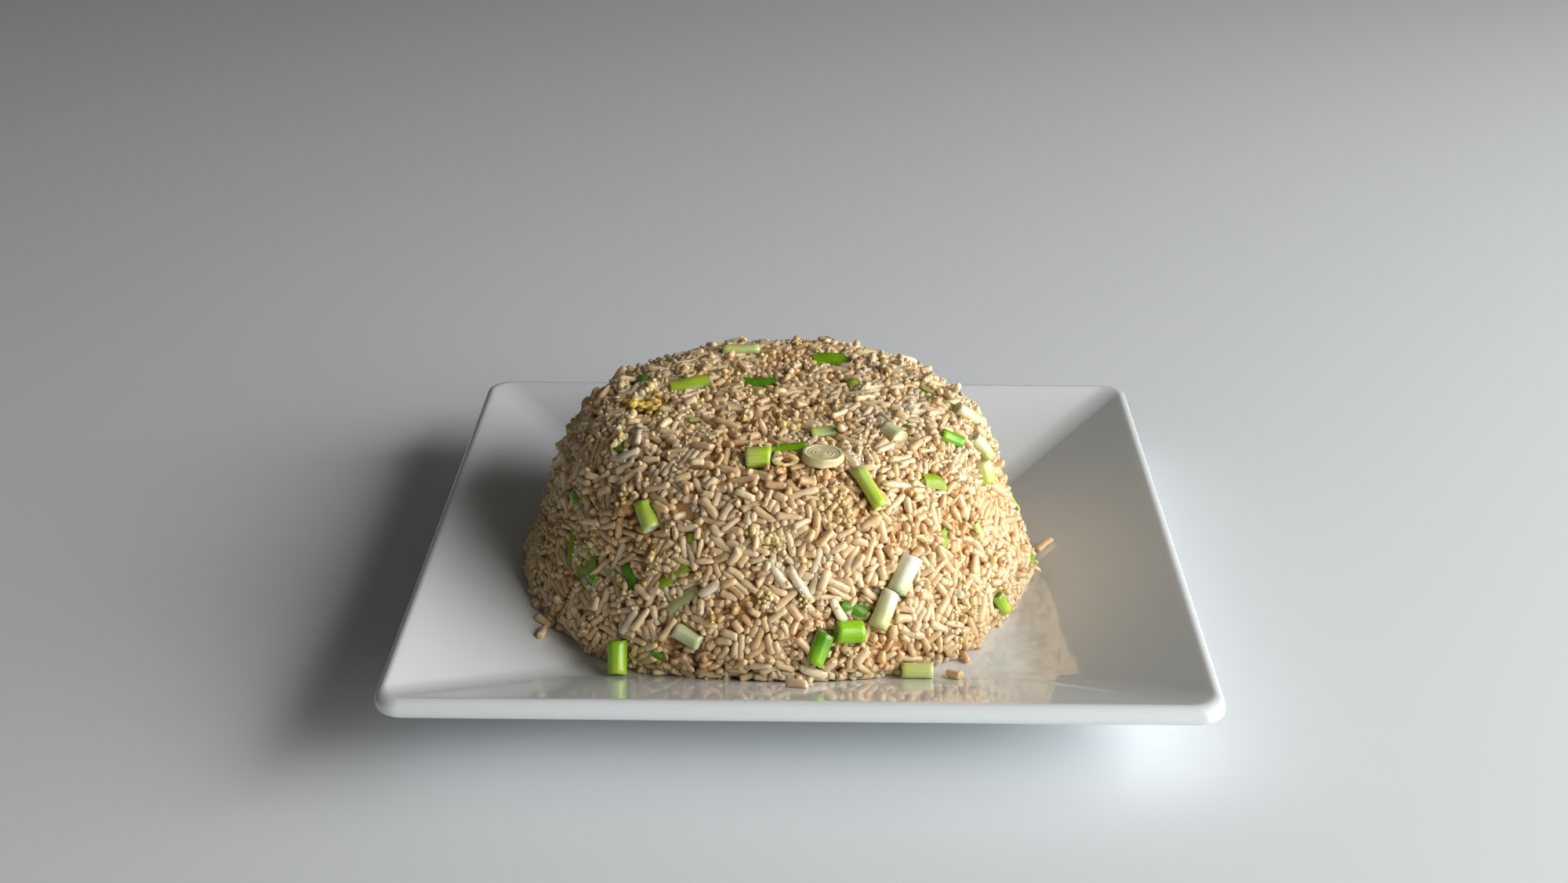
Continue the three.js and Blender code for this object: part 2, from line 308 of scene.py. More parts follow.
def plate_profile():
    def under(half):
        return RIM_Z - RIM_THICK - (HALF - half) * SLOPE
    tilt = math.degrees(math.atan(SLOPE))
    lip_middle = (HALF - LIP, RIM_Z - LIP)
    slope_top = arc(lip_middle, LIP, 90 + tilt, 90 + tilt, 0)[0]
    profile = [(FOOT - 9, 2.4), *soft_corner((FOOT - 12, 2.4), (FOOT - 7.2, 2.4), (FOOT - 6.2, 0.3), 0.8, 3)]
    profile += soft_corner((FOOT - 6.4, 0.8), (FOOT - 6, 0), (FOOT - 3, 0), 0.5, 3)
    profile += soft_corner((FOOT - 3, 0), (FOOT, 0), (FOOT, 2), 0.8, 3)
    profile += soft_corner((FOOT, 0.8), (FOOT, 1.95), (HALF, under(HALF)), 0.6, 3)
    profile += [(FOOT + 6, under(FOOT + 6)), (HALF - 8, under(HALF - 8))]
    profile += soft_corner((HALF - 8, under(HALF - 8)), (HALF, under(HALF)), (HALF, RIM_Z), 2.2, 6)
    profile += arc(lip_middle, LIP, 0, 90 + tilt, 12)
    profile += [(HALF - 5, slope_top[1] - (slope_top[0] - HALF + 5) * SLOPE)]
    profile += [(WELL_HALF + 8, WELL_Z + 8 * SLOPE)]
    profile += soft_corner(slope_top, (WELL_HALF, WELL_Z), (0, WELL_Z), 5, 10)
    profile += [(WELL_HALF - 7, WELL_Z)]
    return profile


outline = plate_profile()
print("the profile has", len(outline), "points")

# %% Draw the plate out of one rounded square
def draw_out(profile, corner):
    bm = bmesh.new()
    bmesh.ops.create_circle(bm, segments=4, radius=profile[0][0] * math.sqrt(2) * MM)
    bmesh.ops.rotate(bm, cent=(0, 0, 0), matrix=Matrix.Rotation(math.pi / 4, 3, "Z"), verts=bm.verts)
    bmesh.ops.bevel(bm, geom=bm.verts[:], offset=corner * MM, offset_type="OFFSET", affect="VERTICES",
                    segments=10, profile=0.5, material=-1)
    bmesh.ops.translate(bm, vec=(0, 0, profile[0][1] * MM), verts=bm.verts)
    ring = bm.edges[:]
    for before, after in zip(profile, profile[1:]):
        grown = bmesh.ops.extrude_edge_only(bm, edges=ring)["geom"]
        verts = [g for g in grown if isinstance(g, bmesh.types.BMVert)]
        ring = [g for g in grown if isinstance(g, bmesh.types.BMEdge)]
        out = (after[0] - before[0]) * MM
        up = (after[1] - before[1]) * MM
        for side_x in (-1, 1):
            for side_y in (-1, 1):
                corner_verts = [v for v in verts if v.co.x * side_x > 0 and v.co.y * side_y > 0]
                bmesh.ops.translate(bm, vec=(side_x * out, side_y * out, up), verts=corner_verts)
    open_edges = [e for e in bm.edges if e.is_boundary]
    bmesh.ops.holes_fill(bm, edges=open_edges, sides=0)
    return mesh_from(bm, "plate_glazed")


plate = keep("plate_glazed", draw_out(outline, CORNER), glaze, ["plate"])
print("plate:", len(plate.data.polygons), "faces")

# %% [markdown]
# ## Measuring the inside of the heap
#
# To pack grains inside the heap, the script must know how deep any point lies. A signed
# distance field answers that: a grid of points, each holding its distance to the nearest
# face, negative inside. A BVH tree finds the nearest face quickly. Whether a point is inside
# comes from counting how often an upright line crosses the faces below it. The CAD heap has
# pockets round every topping, so the field keeps the grains off the toppings too.

# %% The distance field of the heap
PITCH = 2.0


def crossings(tree, x, y, low):
    heights = []
    z = low
    while True:
        hit = tree.ray_cast(Vector((x, y, z)), Vector((0, 0, 1)))[0]
        if hit is None:
            return heights
        heights.append(hit.z)
        z = hit.z + 1e-3


def distance_field(node, margin=5.0, deepest=14.0):
    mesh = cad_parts[node].data
    tree = BVHTree.FromPolygons([v.co / MM for v in mesh.vertices], [p.vertices[:] for p in mesh.polygons])
    low, high = (np.array(corner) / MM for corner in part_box(node))
    start = low - margin
    counts = np.ceil((high + margin - start) / PITCH).astype(int) + 1
    field = np.full(counts, deepest)
    for i, j in np.ndindex(counts[0], counts[1]):
        x, y = start[0] + i * PITCH + 0.013, start[1] + j * PITCH + 0.007
        heights = crossings(tree, x, y, start[2])
        for k in range(counts[2]):
            z = start[2] + k * PITCH
            found = tree.find_nearest(Vector((x, y, z)), deepest)[3]
            gap = deepest if found is None else found
            field[i, j, k] = -gap if sum(h < z for h in heights) % 2 else gap
    return tree, start, field


heap_tree, field_start, field = distance_field("rice_heap")
print("field:", field.shape, "in", round(time.time() - started, 1), "s")

# %% Depth and outward direction at many points at once
def sample(grid, spots):
    """The grid's value at each spot, mixed from the eight grid points round it."""
    place = (spots - field_start) / PITCH
    place = np.clip(place, 0, np.array(grid.shape[:3]) - 1.001)
    base = place.astype(int)
    share = place - base
    total = 0
    for corner in np.ndindex(2, 2, 2):
        weight = np.prod(np.where(corner, share, 1 - share), axis=1)
        cell = base + corner
        value = grid[cell[:, 0], cell[:, 1], cell[:, 2]]
        total = total + (weight[:, None] * value if value.ndim > 1 else weight * value)
    return total


slopes = np.stack(np.gradient(field, PITCH), axis=-1)


def outward(spots):
    away = sample(slopes, spots)
    return away / np.maximum(np.linalg.norm(away, axis=1, keepdims=True), 1e-6)


inside = (field < 0).sum() * PITCH ** 3
print("heap volume", round(inside / 1e6, 2), "litres")

# %% [markdown]
# ## Packing the grains
#
# Cooked grains dropped at random into the outer few millimetres of the heap overlap badly.
# So each grain is treated as a short row of balls, and the balls are pushed apart a little
# at a time until they only touch, while the heap's outer skin holds them in like the wall of
# the bowl they were pressed in. That is how a real heap gets its look: most grains lie along
# the skin, some stand end-on, and dark gaps stay between them.

# %% Grain sizes
SHELL = 7.5
GRAIN_KINDS = {
    # kind: share of the grains, shortest, longest, thinnest, thickest (mm)
    "longest": (0.25, 8.8, 11.8, 2.45, 3.1),
    "long": (0.25, 7.0, 8.8, 2.45, 3.1),
    "middling": (0.22, 5.4, 7.0, 2.4, 3.1),
    "short": (0.17, 4.2, 5.4, 2.3, 3.1),
    "broken": (0.11, 3.0, 4.2, 2.1, 2.9),
}


def random_spots_in_shell(count, deepest, shallowest=1.3):
    """Random points between two depths under the heap's skin."""
    reach = np.array(field.shape) * PITCH
    found = np.empty((0, 3))
    while len(found) < count:
        tries = field_start + rng.random((count * 6, 3)) * reach
        depth = -sample(field, tries)
        found = np.vstack([found, tries[(depth > shallowest) & (depth < deepest)]])
    return found[:count]


def grain_sizes(count):
    kinds = rng.choice(len(GRAIN_KINDS), count, p=[k[0] for k in GRAIN_KINDS.values()])
    table = np.array([k[1:] for k in GRAIN_KINDS.values()])[kinds]
    lengths = table[:, 0] + rng.random(count) * (table[:, 1] - table[:, 0])
    widths = table[:, 2] + rng.random(count) * (table[:, 3] - table[:, 2])
    return kinds, lengths, widths


shell_volume = ((field < 0) & (field > -SHELL)).sum() * PITCH ** 3
grain_volume = np.mean(math.pi / 4 * 2.7 ** 2 * (grain_sizes(2000)[1] - 0.9))
GRAINS = int(shell_volume / grain_volume)
kinds, lengths, widths = grain_sizes(GRAINS)
print(GRAINS, "grains of", round(float(grain_volume), 1), "cubic mm in", round(shell_volume / 1000), "ml")

# %% Drop the grains in at random
centres = random_spots_in_shell(GRAINS, SHELL)
away = outward(centres)
axes = rng.normal(size=(GRAINS, 3))
LYING_SHARE = 0.74
lying = rng.random(GRAINS) < LYING_SHARE
nearly_flat = square_to(axes, away) + 0.35 * rng.normal(size=(GRAINS, 3))
axes = unit(np.where(lying[:, None], nearly_flat, axes))

BALL_STEP = 1.5
straight = np.maximum(lengths - widths, 0.3)
ball_counts = np.maximum(2, np.round(straight / BALL_STEP).astype(int) + 1)
owner = np.repeat(np.arange(GRAINS), ball_counts)
turn_in_grain = np.arange(len(owner)) - np.repeat(np.cumsum(ball_counts) - ball_counts, ball_counts)
along = (turn_in_grain / (ball_counts[owner] - 1) - 0.5) * straight[owner]
ball_radius = widths[owner] / 2
grip = np.bincount(owner, along ** 2, GRAINS) + 0.6
print(len(owner), "balls stand for the grains")

# %% Find which balls touch
HALF_NEIGHBOURS = [n for n in np.ndindex(3, 3, 3) if n > (1, 1, 1)]


def near_pairs(spots, reach):
    """Pairs of spots in the same or neighbouring cells of a grid as wide as the reach."""
    cell = np.floor((spots - spots.min(0)) / reach).astype(np.int64) + 1
    span = cell.max(0) + 2
    key = (cell[:, 0] * span[1] + cell[:, 1]) * span[2] + cell[:, 2]
    order = np.argsort(key, kind="stable")
    ranked = key[order]
    firsts, seconds = [], []
    place_of = np.empty(len(order), np.int64)
    place_of[order] = np.arange(len(order))
    last_same = np.searchsorted(ranked, key, "right")
    for offset in [None] + HALF_NEIGHBOURS:
        if offset is None:
            begin, end = place_of + 1, last_same
        else:
            step = ((offset[0] - 1) * span[1] + offset[1] - 1) * span[2] + offset[2] - 1
            begin = np.searchsorted(ranked, key + step, "left")
            end = np.searchsorted(ranked, key + step, "right")
        count = end - begin
        first = np.repeat(np.arange(len(spots)), count)
        skip = np.repeat(np.cumsum(count) - count, count)
        firsts.append(first)
        seconds.append(order[np.repeat(begin, count) + np.arange(len(first)) - skip])
    return np.concatenate(firsts), np.concatenate(seconds)


print(len(near_pairs(centres, 2.0)[0]), "pairs of grains lie close before the push")


# %% Push the grains apart
def lumps(spots):
    """A slow unevenness of the heap's skin, from -1 to 1."""
    x, y, z = spots.T
    first = np.sin(0.62 * x + 1.5 * np.sin(0.5 * z))
    second = np.sin(0.7 * z + 1.4 * np.sin(0.45 * y))
    return first * second * np.cos(0.4 * y)


TOUCH_REACH = 3.6
PRESSED_REACH = 1.3


def push_apart(rounds, squeeze=0.25, proud=0.35, uneven=0.5):
    """Moves and turns the grains. Balls may overlap by the squeeze and stand proud of the
    skin, and grains just under the skin are drawn up to it."""
    global centres, axes
    for turn in range(rounds):
        balls = centres[owner] + axes[owner] * along[:, None]
        if turn % 4 == 0:
            first, second = near_pairs(balls, TOUCH_REACH)
            other = owner[first] != owner[second]
            first, second = first[other], second[other]
        apart = balls[first] - balls[second]
        gap = np.sqrt((apart ** 2).sum(1)) + 1e-9
        lack = (ball_radius[first] + ball_radius[second]) * (1 - squeeze) - gap
        close = lack > 0
        push = apart[close] / gap[close, None] * (0.5 * lack[close])[:, None]
        move = np.zeros_like(balls)
        for axis in range(3):
            move[:, axis] += np.bincount(first[close], push[:, axis], len(balls))
            move[:, axis] -= np.bincount(second[close], push[:, axis], len(balls))
        hits = np.bincount(first[close], minlength=len(balls))
        hits = hits + np.bincount(second[close], minlength=len(balls))
        move /= np.maximum(hits, 1)[:, None] ** 0.5
        depth = -sample(field, balls)
        away = outward(balls)
        below_wall = depth - ball_radius + proud + uneven * lumps(balls)
        too_high = np.maximum(-below_wall, 0)
        too_deep = np.maximum(depth - SHELL, 0)
        pressed = np.where((below_wall > 0) & (below_wall < PRESSED_REACH), below_wall, 0)
        move += away * (0.25 * too_deep + 0.07 * pressed - 0.9 * too_high)[:, None]
        for axis in range(3):
            centres[:, axis] += np.bincount(owner, move[:, axis], GRAINS) / ball_counts
        turning = np.stack([np.bincount(owner, move[:, a] * along, GRAINS) for a in range(3)], 1)
        axes = unit(axes + turning / grip[:, None])
    return lack[close]


left_over = push_apart(rounds=80)
print("packed in", round(time.time() - started, 1), "s")
print("mean overlap left", round(float(left_over.mean()), 2), "mm")

# %% [markdown]
# ## Where the larger pieces lie
#
# Every larger piece of onion and egg has a CAD node. The script measures each node: its
# middle, the direction it runs in, the direction that faces out of the heap, and its half
# sizes. The directions come from the spread of the node's points: they spread most along the
# piece and least through its thickness. The fine piece is later modelled upright at the
# origin and then stood in that place, so it always agrees with the CAD.

# %% Measure how a CAD piece lies
heap_low, heap_high = (np.array(c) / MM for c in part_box("rice_heap"))
HEAP_MIDDLE = np.array([(heap_low[0] + heap_high[0]) / 2, 0.0, WELL_Z + 26.0])
ON_PLATE = ("onion_tube_loose", "onion_tube_leaning")
DISCS = ("onion_ring_slice",)


def frame_of(facing, along):
    """A frame whose columns are across, facing and along; facing is made square to along."""
    along = along / np.linalg.norm(along)
    facing = facing - (facing @ along) * along
    facing = facing / np.linalg.norm(facing)
    return np.stack([np.cross(facing, along), facing, along], axis=1)


def stance(node):
    """Middle, frame and half sizes of a CAD piece, in mm."""
    spots = np.array([v.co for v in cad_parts[node].data.vertices]) / MM
    centre = (spots.min(0) + spots.max(0)) / 2
    spread, directions = np.linalg.eigh(np.cov((spots - spots.mean(0)).T))
    rough = np.array([0, 0, 1.0]) if node in ON_PLATE else centre - HEAP_MIDDLE
    if node in DISCS:
        along = directions[:, 0] * np.sign(directions[:, 0] @ rough)
        facing = np.array([0, 0, 1.0])
    else:
        along = directions[:, 2] * np.sign(directions[:, 2] @ np.array([0.3, 0.1, 1.0]))
        facing = directions[:, 0] if spread[1] > spread[0] * 1.25 else rough
        facing = facing * np.sign(facing @ rough)
    columns = frame_of(facing, along)
    local = (spots - spots.mean(0)) @ columns
    middle = spots.mean(0) + columns @ ((local.min(0) + local.max(0)) / 2)
    return middle, columns, (local.max(0) - local.min(0)) / 2


TOPPINGS = [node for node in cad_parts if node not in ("plate", "rice_heap")]
stances = {node: stance(node) for node in TOPPINGS}
print(len(stances), "larger pieces measured")

# %% [markdown]
# ## Where the smaller pieces lie
#
# The smaller cuts of onion have no node. Those in front lie beside a larger piece, so their
# place is that piece's own and a few millimetres round the heap and up its side from there.
# The far side has few larger pieces, and its cuts are strewn there by a seeded draw, which
# turns down a place that is too near another piece. A place is kept as it is seen from the
# middle of the heap's foot, as a bearing (0 in front, plus to the right) and a height angle,
# and a ray from that middle finds the skin.

# %% Find a place on the skin
FOOT_MIDDLE = np.array([HEAP_MIDDLE[0], 0.0, WELL_Z])


def beside(node, across, up):
    """Bearing and height angle of the place so many mm round and up from a larger piece."""
    away = stances[node][0] - FOOT_MIDDLE
    flat = math.hypot(away[0], away[1])
    bearing = math.atan2(away[0], -away[1]) + across / flat
    height = math.atan2(away[2], flat) + up / np.linalg.norm(away)
    return math.degrees(bearing), math.degrees(height)


def on_skin(bearing, height, turn, sunk):
    """Middle and frame of a piece that lies on the heap's skin; the frame runs along it."""
    side, up = math.radians(bearing), math.radians(height)
    ray = np.array([math.cos(up) * math.sin(side), -math.cos(up) * math.cos(side), math.sin(up)])
    hit = heap_tree.ray_cast(Vector(FOOT_MIDDLE + ray * 140), Vector(-ray))[0]
    spot = np.array(hit)
    facing = outward((spot - ray * 1.5)[None])[0]
    level = np.cross([0, 0, 1.0], facing)
    level /= np.linalg.norm(level)
    rise = np.cross(facing, level)
    along = level * math.cos(math.radians(turn)) + rise * math.sin(math.radians(turn))
    return spot - facing * sunk, frame_of(facing, along)


def strewn(count, seed, apart, bearings=(-180, 180), heights=(8, 70)):
    """Seeded bearings and height angles, each so many mm from the other pieces."""
    draw = np.random.default_rng(seed)
    low, high = np.sin(np.radians(heights))
    taken = [middle for middle, _, _ in stances.values()]
    found = []
    for _ in range(60 * count):
        bearing = draw.uniform(*bearings)
        height = math.degrees(math.asin(draw.uniform(low, high)))
        spot = on_skin(bearing, height, 0, 0)[0]
        if len(found) < count and np.linalg.norm(np.array(taken) - spot, axis=1).min() > apart:
            taken.append(spot)
            found.append((bearing, height))
    return found


print("seen from the foot, the crown's egg lies at", [round(v) for v in beside("egg_crown", 0, 0)])

# %% Place the smaller cuts
FRONT_CUTS = [
    # kind, the node it lies beside, mm across, mm up, turn, length, width
    ("green", "onion_cut_left", 6, -2, 0, 4.2, 3.6), ("green", "onion_cut_left", 3, -7, 10, 4.6, 4.0),
    ("green", "onion_cut_left", 0, 5, 20, 3.4, 2.6), ("green", "onion_strip_left", -5, 15, -20, 4.6, 3.2),
    ("green", "onion_split_left", 5, 12, -70, 4.8, 3.2), ("dark", "onion_stem_low", 0, -2, -25, 7.6, 4.0),
    ("dark", "onion_stem_low", -9, -8, -20, 5.0, 3.4), ("dark", "onion_stem_olive", -20, 14, -20, 7.0, 3.0),
    ("dark", "onion_stem_olive", -28, 16, 10, 6.0, 3.0), ("dark", "egg_crown", 5, -28, 80, 7.0, 2.6),
    ("pale", "egg_crown", 25, 10, 30, 4.0, 2.6), ("green", "onion_bit_front", -4, -18, -95, 6.2, 4.2),
    ("pale", "onion_bit_front", 12, -22, -80, 6.0, 3.4), ("dark", "onion_stem_round", 10, 0, 20, 4.6, 3.4),
    ("green", "onion_pale_edge", 0, -5, -60, 6.4, 4.4), ("green", "onion_cut_right", 35, 0, 25, 5.0, 3.4),
]
BACK_CUTS = 20
small_stances = []
for kind, node, across, up, turn, length, width in FRONT_CUTS:
    middle, columns = on_skin(*beside(node, across, up), turn, 0.5)
    small_stances.append((kind, middle, columns, np.array([width, width * 0.7, length]) / 2))
draw = np.random.default_rng(23)
for bearing, height in strewn(BACK_CUTS, 17, 17, (95, 265)):
    middle, columns = on_skin(bearing, height, draw.uniform(-90, 90), 0.5)
    length, slim = draw.uniform(5.0, 9.5), draw.uniform(0.5, 0.7)
    halves = np.array([length * slim, length * slim * 0.7, length]) / 2
    small_stances.append((str(draw.choice(["green", "pale", "dark"])), middle, columns, halves))
print(len(small_stances), "smaller cuts placed")

# %% [markdown]
# ## Choosing the grains that are kept
#
# A grain that lies wholly under the others, or under the heap, is never seen, so it is left
# out. So is a grain that lies over the open face of a piece of onion, because the pieces on
# a turned-out heap show their faces, pressed flush with the rice.

# %% Leave out the grains that aren't seen
SEEN_DEPTH = 3.6
UNDERSIDE_REACH = 76
balls = centres[owner] + axes[owner] * along[:, None]
shallowest_part = np.full(GRAINS, 99.0)
np.minimum.at(shallowest_part, owner, -sample(field, balls) - ball_radius)
from_foot = np.linalg.norm((centres - FOOT_MIDDLE)[:, :2], axis=1)
under = (outward(centres)[:, 2] < -0.55) & (from_foot < UNDERSIDE_REACH)


def covers(spots, radii, share=0.86):
    """Which spots lie over the open face of a larger or smaller piece, or inside it."""
    found = np.zeros(len(spots), bool)
    for middle, columns, halves in [*stances.values(), *(s[1:] for s in small_stances)]:
        local = (spots - middle) @ columns
        within = (np.abs(local[:, [0, 2]]) < halves[[0, 2]] * share + radii[:, None] * 0.35).all(1)
        found |= within & (local[:, 1] > -0.35 * halves[1]) & (local[:, 1] < 9)
    return found


covering = np.zeros(GRAINS, bool)
covering[owner[covers(balls, ball_radius)]] = True
seen = (shallowest_part < SEEN_DEPTH) & ~under & ~covering
print(int(seen.sum()), "of", GRAINS, "grains are kept;", int(covering.sum()), "lay over a piece")

# %% [markdown]
# ## One cooked grain
#
# A cooked long grain is a small cylinder with blunt ends, a slight bend and a thinner end.
# It starts as a ball from `create_uvsphere` with few faces, because it is copied thousands
# of times. Sliding the ball's rings outwards along its length makes the straight body.
# Every grain also carries a map: round the grain is u, along it is v. Each copy later takes
# one narrow strip of that map, and the strip decides its tone.

# %% Shape and map one grain
def skin_map(bm, half):
    """A UV map on a small body along Z: once round is 0 to 1 in u, its length is v."""
    layer = bm.loops.layers.uv.new("OFBake")
    for face in bm.faces:
        middle = face.calc_center_median()
        centre_angle = math.atan2(middle.y, middle.x)
        for loop in face.loops:
            spot = loop.vert.co
            turn = math.atan2(spot.y, spot.x) - centre_angle
            turn = (turn + math.pi) % (2 * math.pi) - math.pi
            if math.hypot(spot.x, spot.y) < 1e-4:
                turn = 0
            u = (centre_angle + turn) / (2 * math.pi) + 0.5
            loop[layer].uv = (min(max(u, -0.06), 1.06), (spot.z / half + 1) / 2)


def grain_template(length, width, bend, taper, flat, cut_ends, seed):
    bm = bmesh.new()
    bmesh.ops.create_uvsphere(bm, u_segments=8, v_segments=7, radius=1)
    shaky = np.random.default_rng(seed)
    half, radius = length / 2, width / 2
    lean = shaky.uniform(-0.75, 0.75, 2)
    for v in bm.verts:
        lift = math.asin(max(-1, min(1, v.co.z))) / (math.pi / 2)
        side = math.copysign(1, lift)
        cut = side in cut_ends
        cap = max(0, abs(lift) - 0.45) / 0.55
        z = (half - radius) * max(-1, min(1, lift / 0.45)) + side * radius * math.sin(cap * math.pi / 2)
        across = radius * math.cos(cap * math.pi / 2) ** (0.3 if cut else 0.85)
        across *= 1 + taper * z / half + 0.07 * shaky.normal()
        angle = math.atan2(v.co.y, v.co.x)
        x = 0 if cap > 0.999 else across * math.cos(angle)
        y = 0 if cap > 0.999 else across * flat * math.sin(angle)
        end = half - 0.5 * radius + lean[0 if side > 0 else 1] * x
        v.co = (x, y, side * min(abs(z), end) if cut else z)
    skin_map(bm, half)
    for v in bm.verts:
        v.co.x += bend * (v.co.z / half) ** 2 - bend * 0.4
    return mesh_from(bm, "grain_template")


tried = grain_template(9, 2.8, 0.5, 0.1, 0.9, (1,), 1)
print("one grain has", len(tried.polygons), "faces")

# %% The shapes of one kind of grain
# which ends are cut off askew, for each of the shapes; a long grain mostly keeps both its tips
GRAIN_SHAPES = 6
SHORT_CUTS = [(1,), (), (1, -1), (1,), (), (1, -1)]
LONG_CUTS = [(), (), (1,), (), (), (1,)]


def grain_templates(kind):
    """The shapes of one kind of grain, with the length and width that they have in common."""
    _, shortest, longest, thinnest, thickest = GRAIN_KINDS[kind]
    length, width = (shortest + longest) / 2, (thinnest + thickest) / 2
    made = []
    for number in range(GRAIN_SHAPES):
        bend = rng.uniform(0.0, 0.07) * length
        taper = rng.uniform(-0.05, 0.16)
        flat = rng.uniform(0.76, 1.0)
        cut_ends = (SHORT_CUTS if length < 8 else LONG_CUTS)[number]
        made.append(grain_template(length, width, bend, taper, flat, cut_ends, 40 + number))
    return made, length, width


print(GRAIN_SHAPES, "shapes for each kind of grain")

# %% [markdown]
# ## Copying a small shape many times into one mesh
#
# Thousands of separate objects would be slow and hard to handle, so all copies of a kind
# become one mesh. Blender's meshes can be read and written as plain arrays. The helper reads
# a template once, then places a turned, stretched copy for every grain in one calculation.

# %% Arrays of a template mesh
def arrays_of(mesh):
    spots = np.empty(len(mesh.vertices) * 3, np.float32)
    mesh.vertices.foreach_get("co", spots)
    corners = np.empty(len(mesh.loops), np.int32)
    mesh.loops.foreach_get("vertex_index", corners)
    counts = np.empty(len(mesh.polygons), np.int32)
    mesh.polygons.foreach_get("loop_total", counts)
    uv = np.empty(len(mesh.loops) * 2, np.float32)
    mesh.uv_layers["OFBake"].uv.foreach_get("vector", uv)
    return spots.reshape(-1, 3), corners, counts, uv.reshape(-1, 2)


print("a grain has", len(arrays_of(tried)[1]), "face corners")

# %% Many copies in one mesh
def swayed(spots, amount):
    """Spots moved by a slow wave through space, so no two copies keep the same shape."""
    x, y, z = spots.T
    return spots + amount * np.stack([
        np.sin(1.0 * x + 1.7 * np.sin(0.6 * y)) * np.cos(0.9 * y + 1.5 * np.sin(0.8 * z)),
        np.sin(1.1 * y + 1.6 * np.sin(0.7 * z)) * np.cos(1.0 * z + 1.4 * np.sin(0.7 * x)),
        np.sin(1.0 * z + 1.8 * np.sin(0.5 * x)) * np.cos(1.1 * x + 1.6 * np.sin(0.8 * y))], 1)


def joined(name, templates, which, middles, frames, stretch, tones, sway=0.13):
    """One mesh with a copy of templates[which] for each middle. A frame's columns are the
    copy's own X, Y and Z axes, and tones picks each copy's strip of the map."""
    all_spots, all_corners, all_counts, all_uv = [], [], [], []
    used = 0
    for number, mesh in enumerate(templates):
        mine = np.flatnonzero(which == number)
        spots, corners, counts, uv = arrays_of(mesh)
        sized = spots[None] * stretch[mine][:, None]
        placed = np.einsum("nij,nvj->nvi", frames[mine], sized) + middles[mine][:, None]
        starts = used + np.arange(len(mine)) * len(spots)
        used += len(mine) * len(spots)
        all_spots.append(placed.reshape(-1, 3))
        all_corners.append((corners[None] + starts[:, None]).ravel())
        all_counts.append(np.tile(counts, len(mine)))
        strip = np.repeat(tones[mine], len(uv))
        u = (strip + 0.5 + 0.8 * (np.tile(uv[:, 0], len(mine)) - 0.5)) / STRIPS
        v = 0.04 + 0.92 * np.tile(uv[:, 1], len(mine))
        all_uv.append(np.stack([u, v], 1))
    spots, corners = swayed(np.concatenate(all_spots), sway) * MM, np.concatenate(all_corners)
    counts = np.concatenate(all_counts)
    mesh = bpy.data.meshes.new(name)
    mesh.vertices.add(len(spots))
    mesh.vertices.foreach_set("co", spots.astype(np.float32).ravel())
    mesh.loops.add(len(corners))
    mesh.loops.foreach_set("vertex_index", corners.astype(np.int32))
    mesh.polygons.add(len(counts))
    mesh.polygons.foreach_set("loop_start", (np.cumsum(counts) - counts).astype(np.int32))
    layer = mesh.uv_layers.new(name="OFBake")
    layer.uv.foreach_set("vector", np.concatenate(all_uv).astype(np.float32).ravel())
    mesh.update(calc_edges=True)
    mesh.validate()
    return mesh


STRIPS = 40
print("each scattered kind picks from", STRIPS, "tones")


def random_frames(along, count):
    """Frames whose Z column is the given direction, turned at random about it."""
    helper = rng.normal(size=(count, 3))
    side = unit(np.cross(helper, along))
    return np.stack([side, np.cross(along, side), along], axis=2)


# %% [markdown]
# ## The skin of the rice
#
# Fried rice is not one colour. Grains that met the soy sauce are tan, some stayed nearly
# white, and a few browned in the pan. The material reads the grain's own map: which strip it
# sits in gives the tone, and the place along the grain makes its tips a little darker. A
# cooked grain lets light in, so it has subsurface scattering, and oil makes it shine.

# %% Material for everything that picks a strip
EVEN_TINT = (1.0, 0.98, 0.95)


def strip_material(name, stops, tip_colour, roughness, coat, subsurface=0.0, reach=1.0, mottled=0.35):
    made, tree, shader = new_material(name, roughness, coat, subsurface, reach, EVEN_TINT)
    uv = add_node(tree, "ShaderNodeUVMap", uv_map="OFBake").outputs["UV"]
    parts = xyz_of(tree, uv)
    strip = maths(tree, "FLOOR", maths(tree, "MULTIPLY", parts["X"], float(STRIPS)))
    tone = ramp(tree, stops, maths(tree, "DIVIDE", strip, STRIPS - 1.0))
    clouds = noise(tree, stretched(tree, uv, (STRIPS * 2.0, 3.0, 1.0)), 1.6, 3)
    from_middle = maths(tree, "ABSOLUTE", maths(tree, "SUBTRACT", parts["Y"], 0.5))
    tip = maths(tree, "MULTIPLY", maths(tree, "POWER", maths(tree, "MULTIPLY", from_middle, 2.0), 3.0), 0.5)
    share = maths(tree, "ADD", tip, maths(tree, "MULTIPLY", clouds, mottled))
    share = clamped(tree, maths(tree, "SUBTRACT", share, mottled * 0.45))
    tree.links.new(mixed(tree, share, tone, tip_colour), shader.inputs["Base Color"])
    return made, tree, shader


rice_skin, rice_tree, rice_shader = strip_material(
    "oiled_rice",
    [(0.0, colour(206, 162, 112)), (0.15, colour(220, 184, 136)), (0.5, colour(232, 203, 161)),
     (0.85, colour(239, 217, 182)), (1.0, colour(247, 239, 226))],
    colour(222, 188, 138), roughness=0.4, coat=0.3, subsurface=1.0, reach=1.8)
roughen(rice_tree, rice_shader, size=900, strength=0.6, height=0.35)
# broken bits are browner than whole grains: partly their own tone, and partly painted shade where they fill
# the gaps
broken_skin, *_ = strip_material(
    "broken_rice",
    [(0.0, colour(204, 154, 96)), (0.3, colour(218, 176, 120)), (0.6, colour(229, 198, 150)),
     (1.0, colour(243, 230, 202))],
    colour(214, 176, 124), roughness=0.36, coat=0.5)
print("made", rice_skin.name, "and", broken_skin.name)

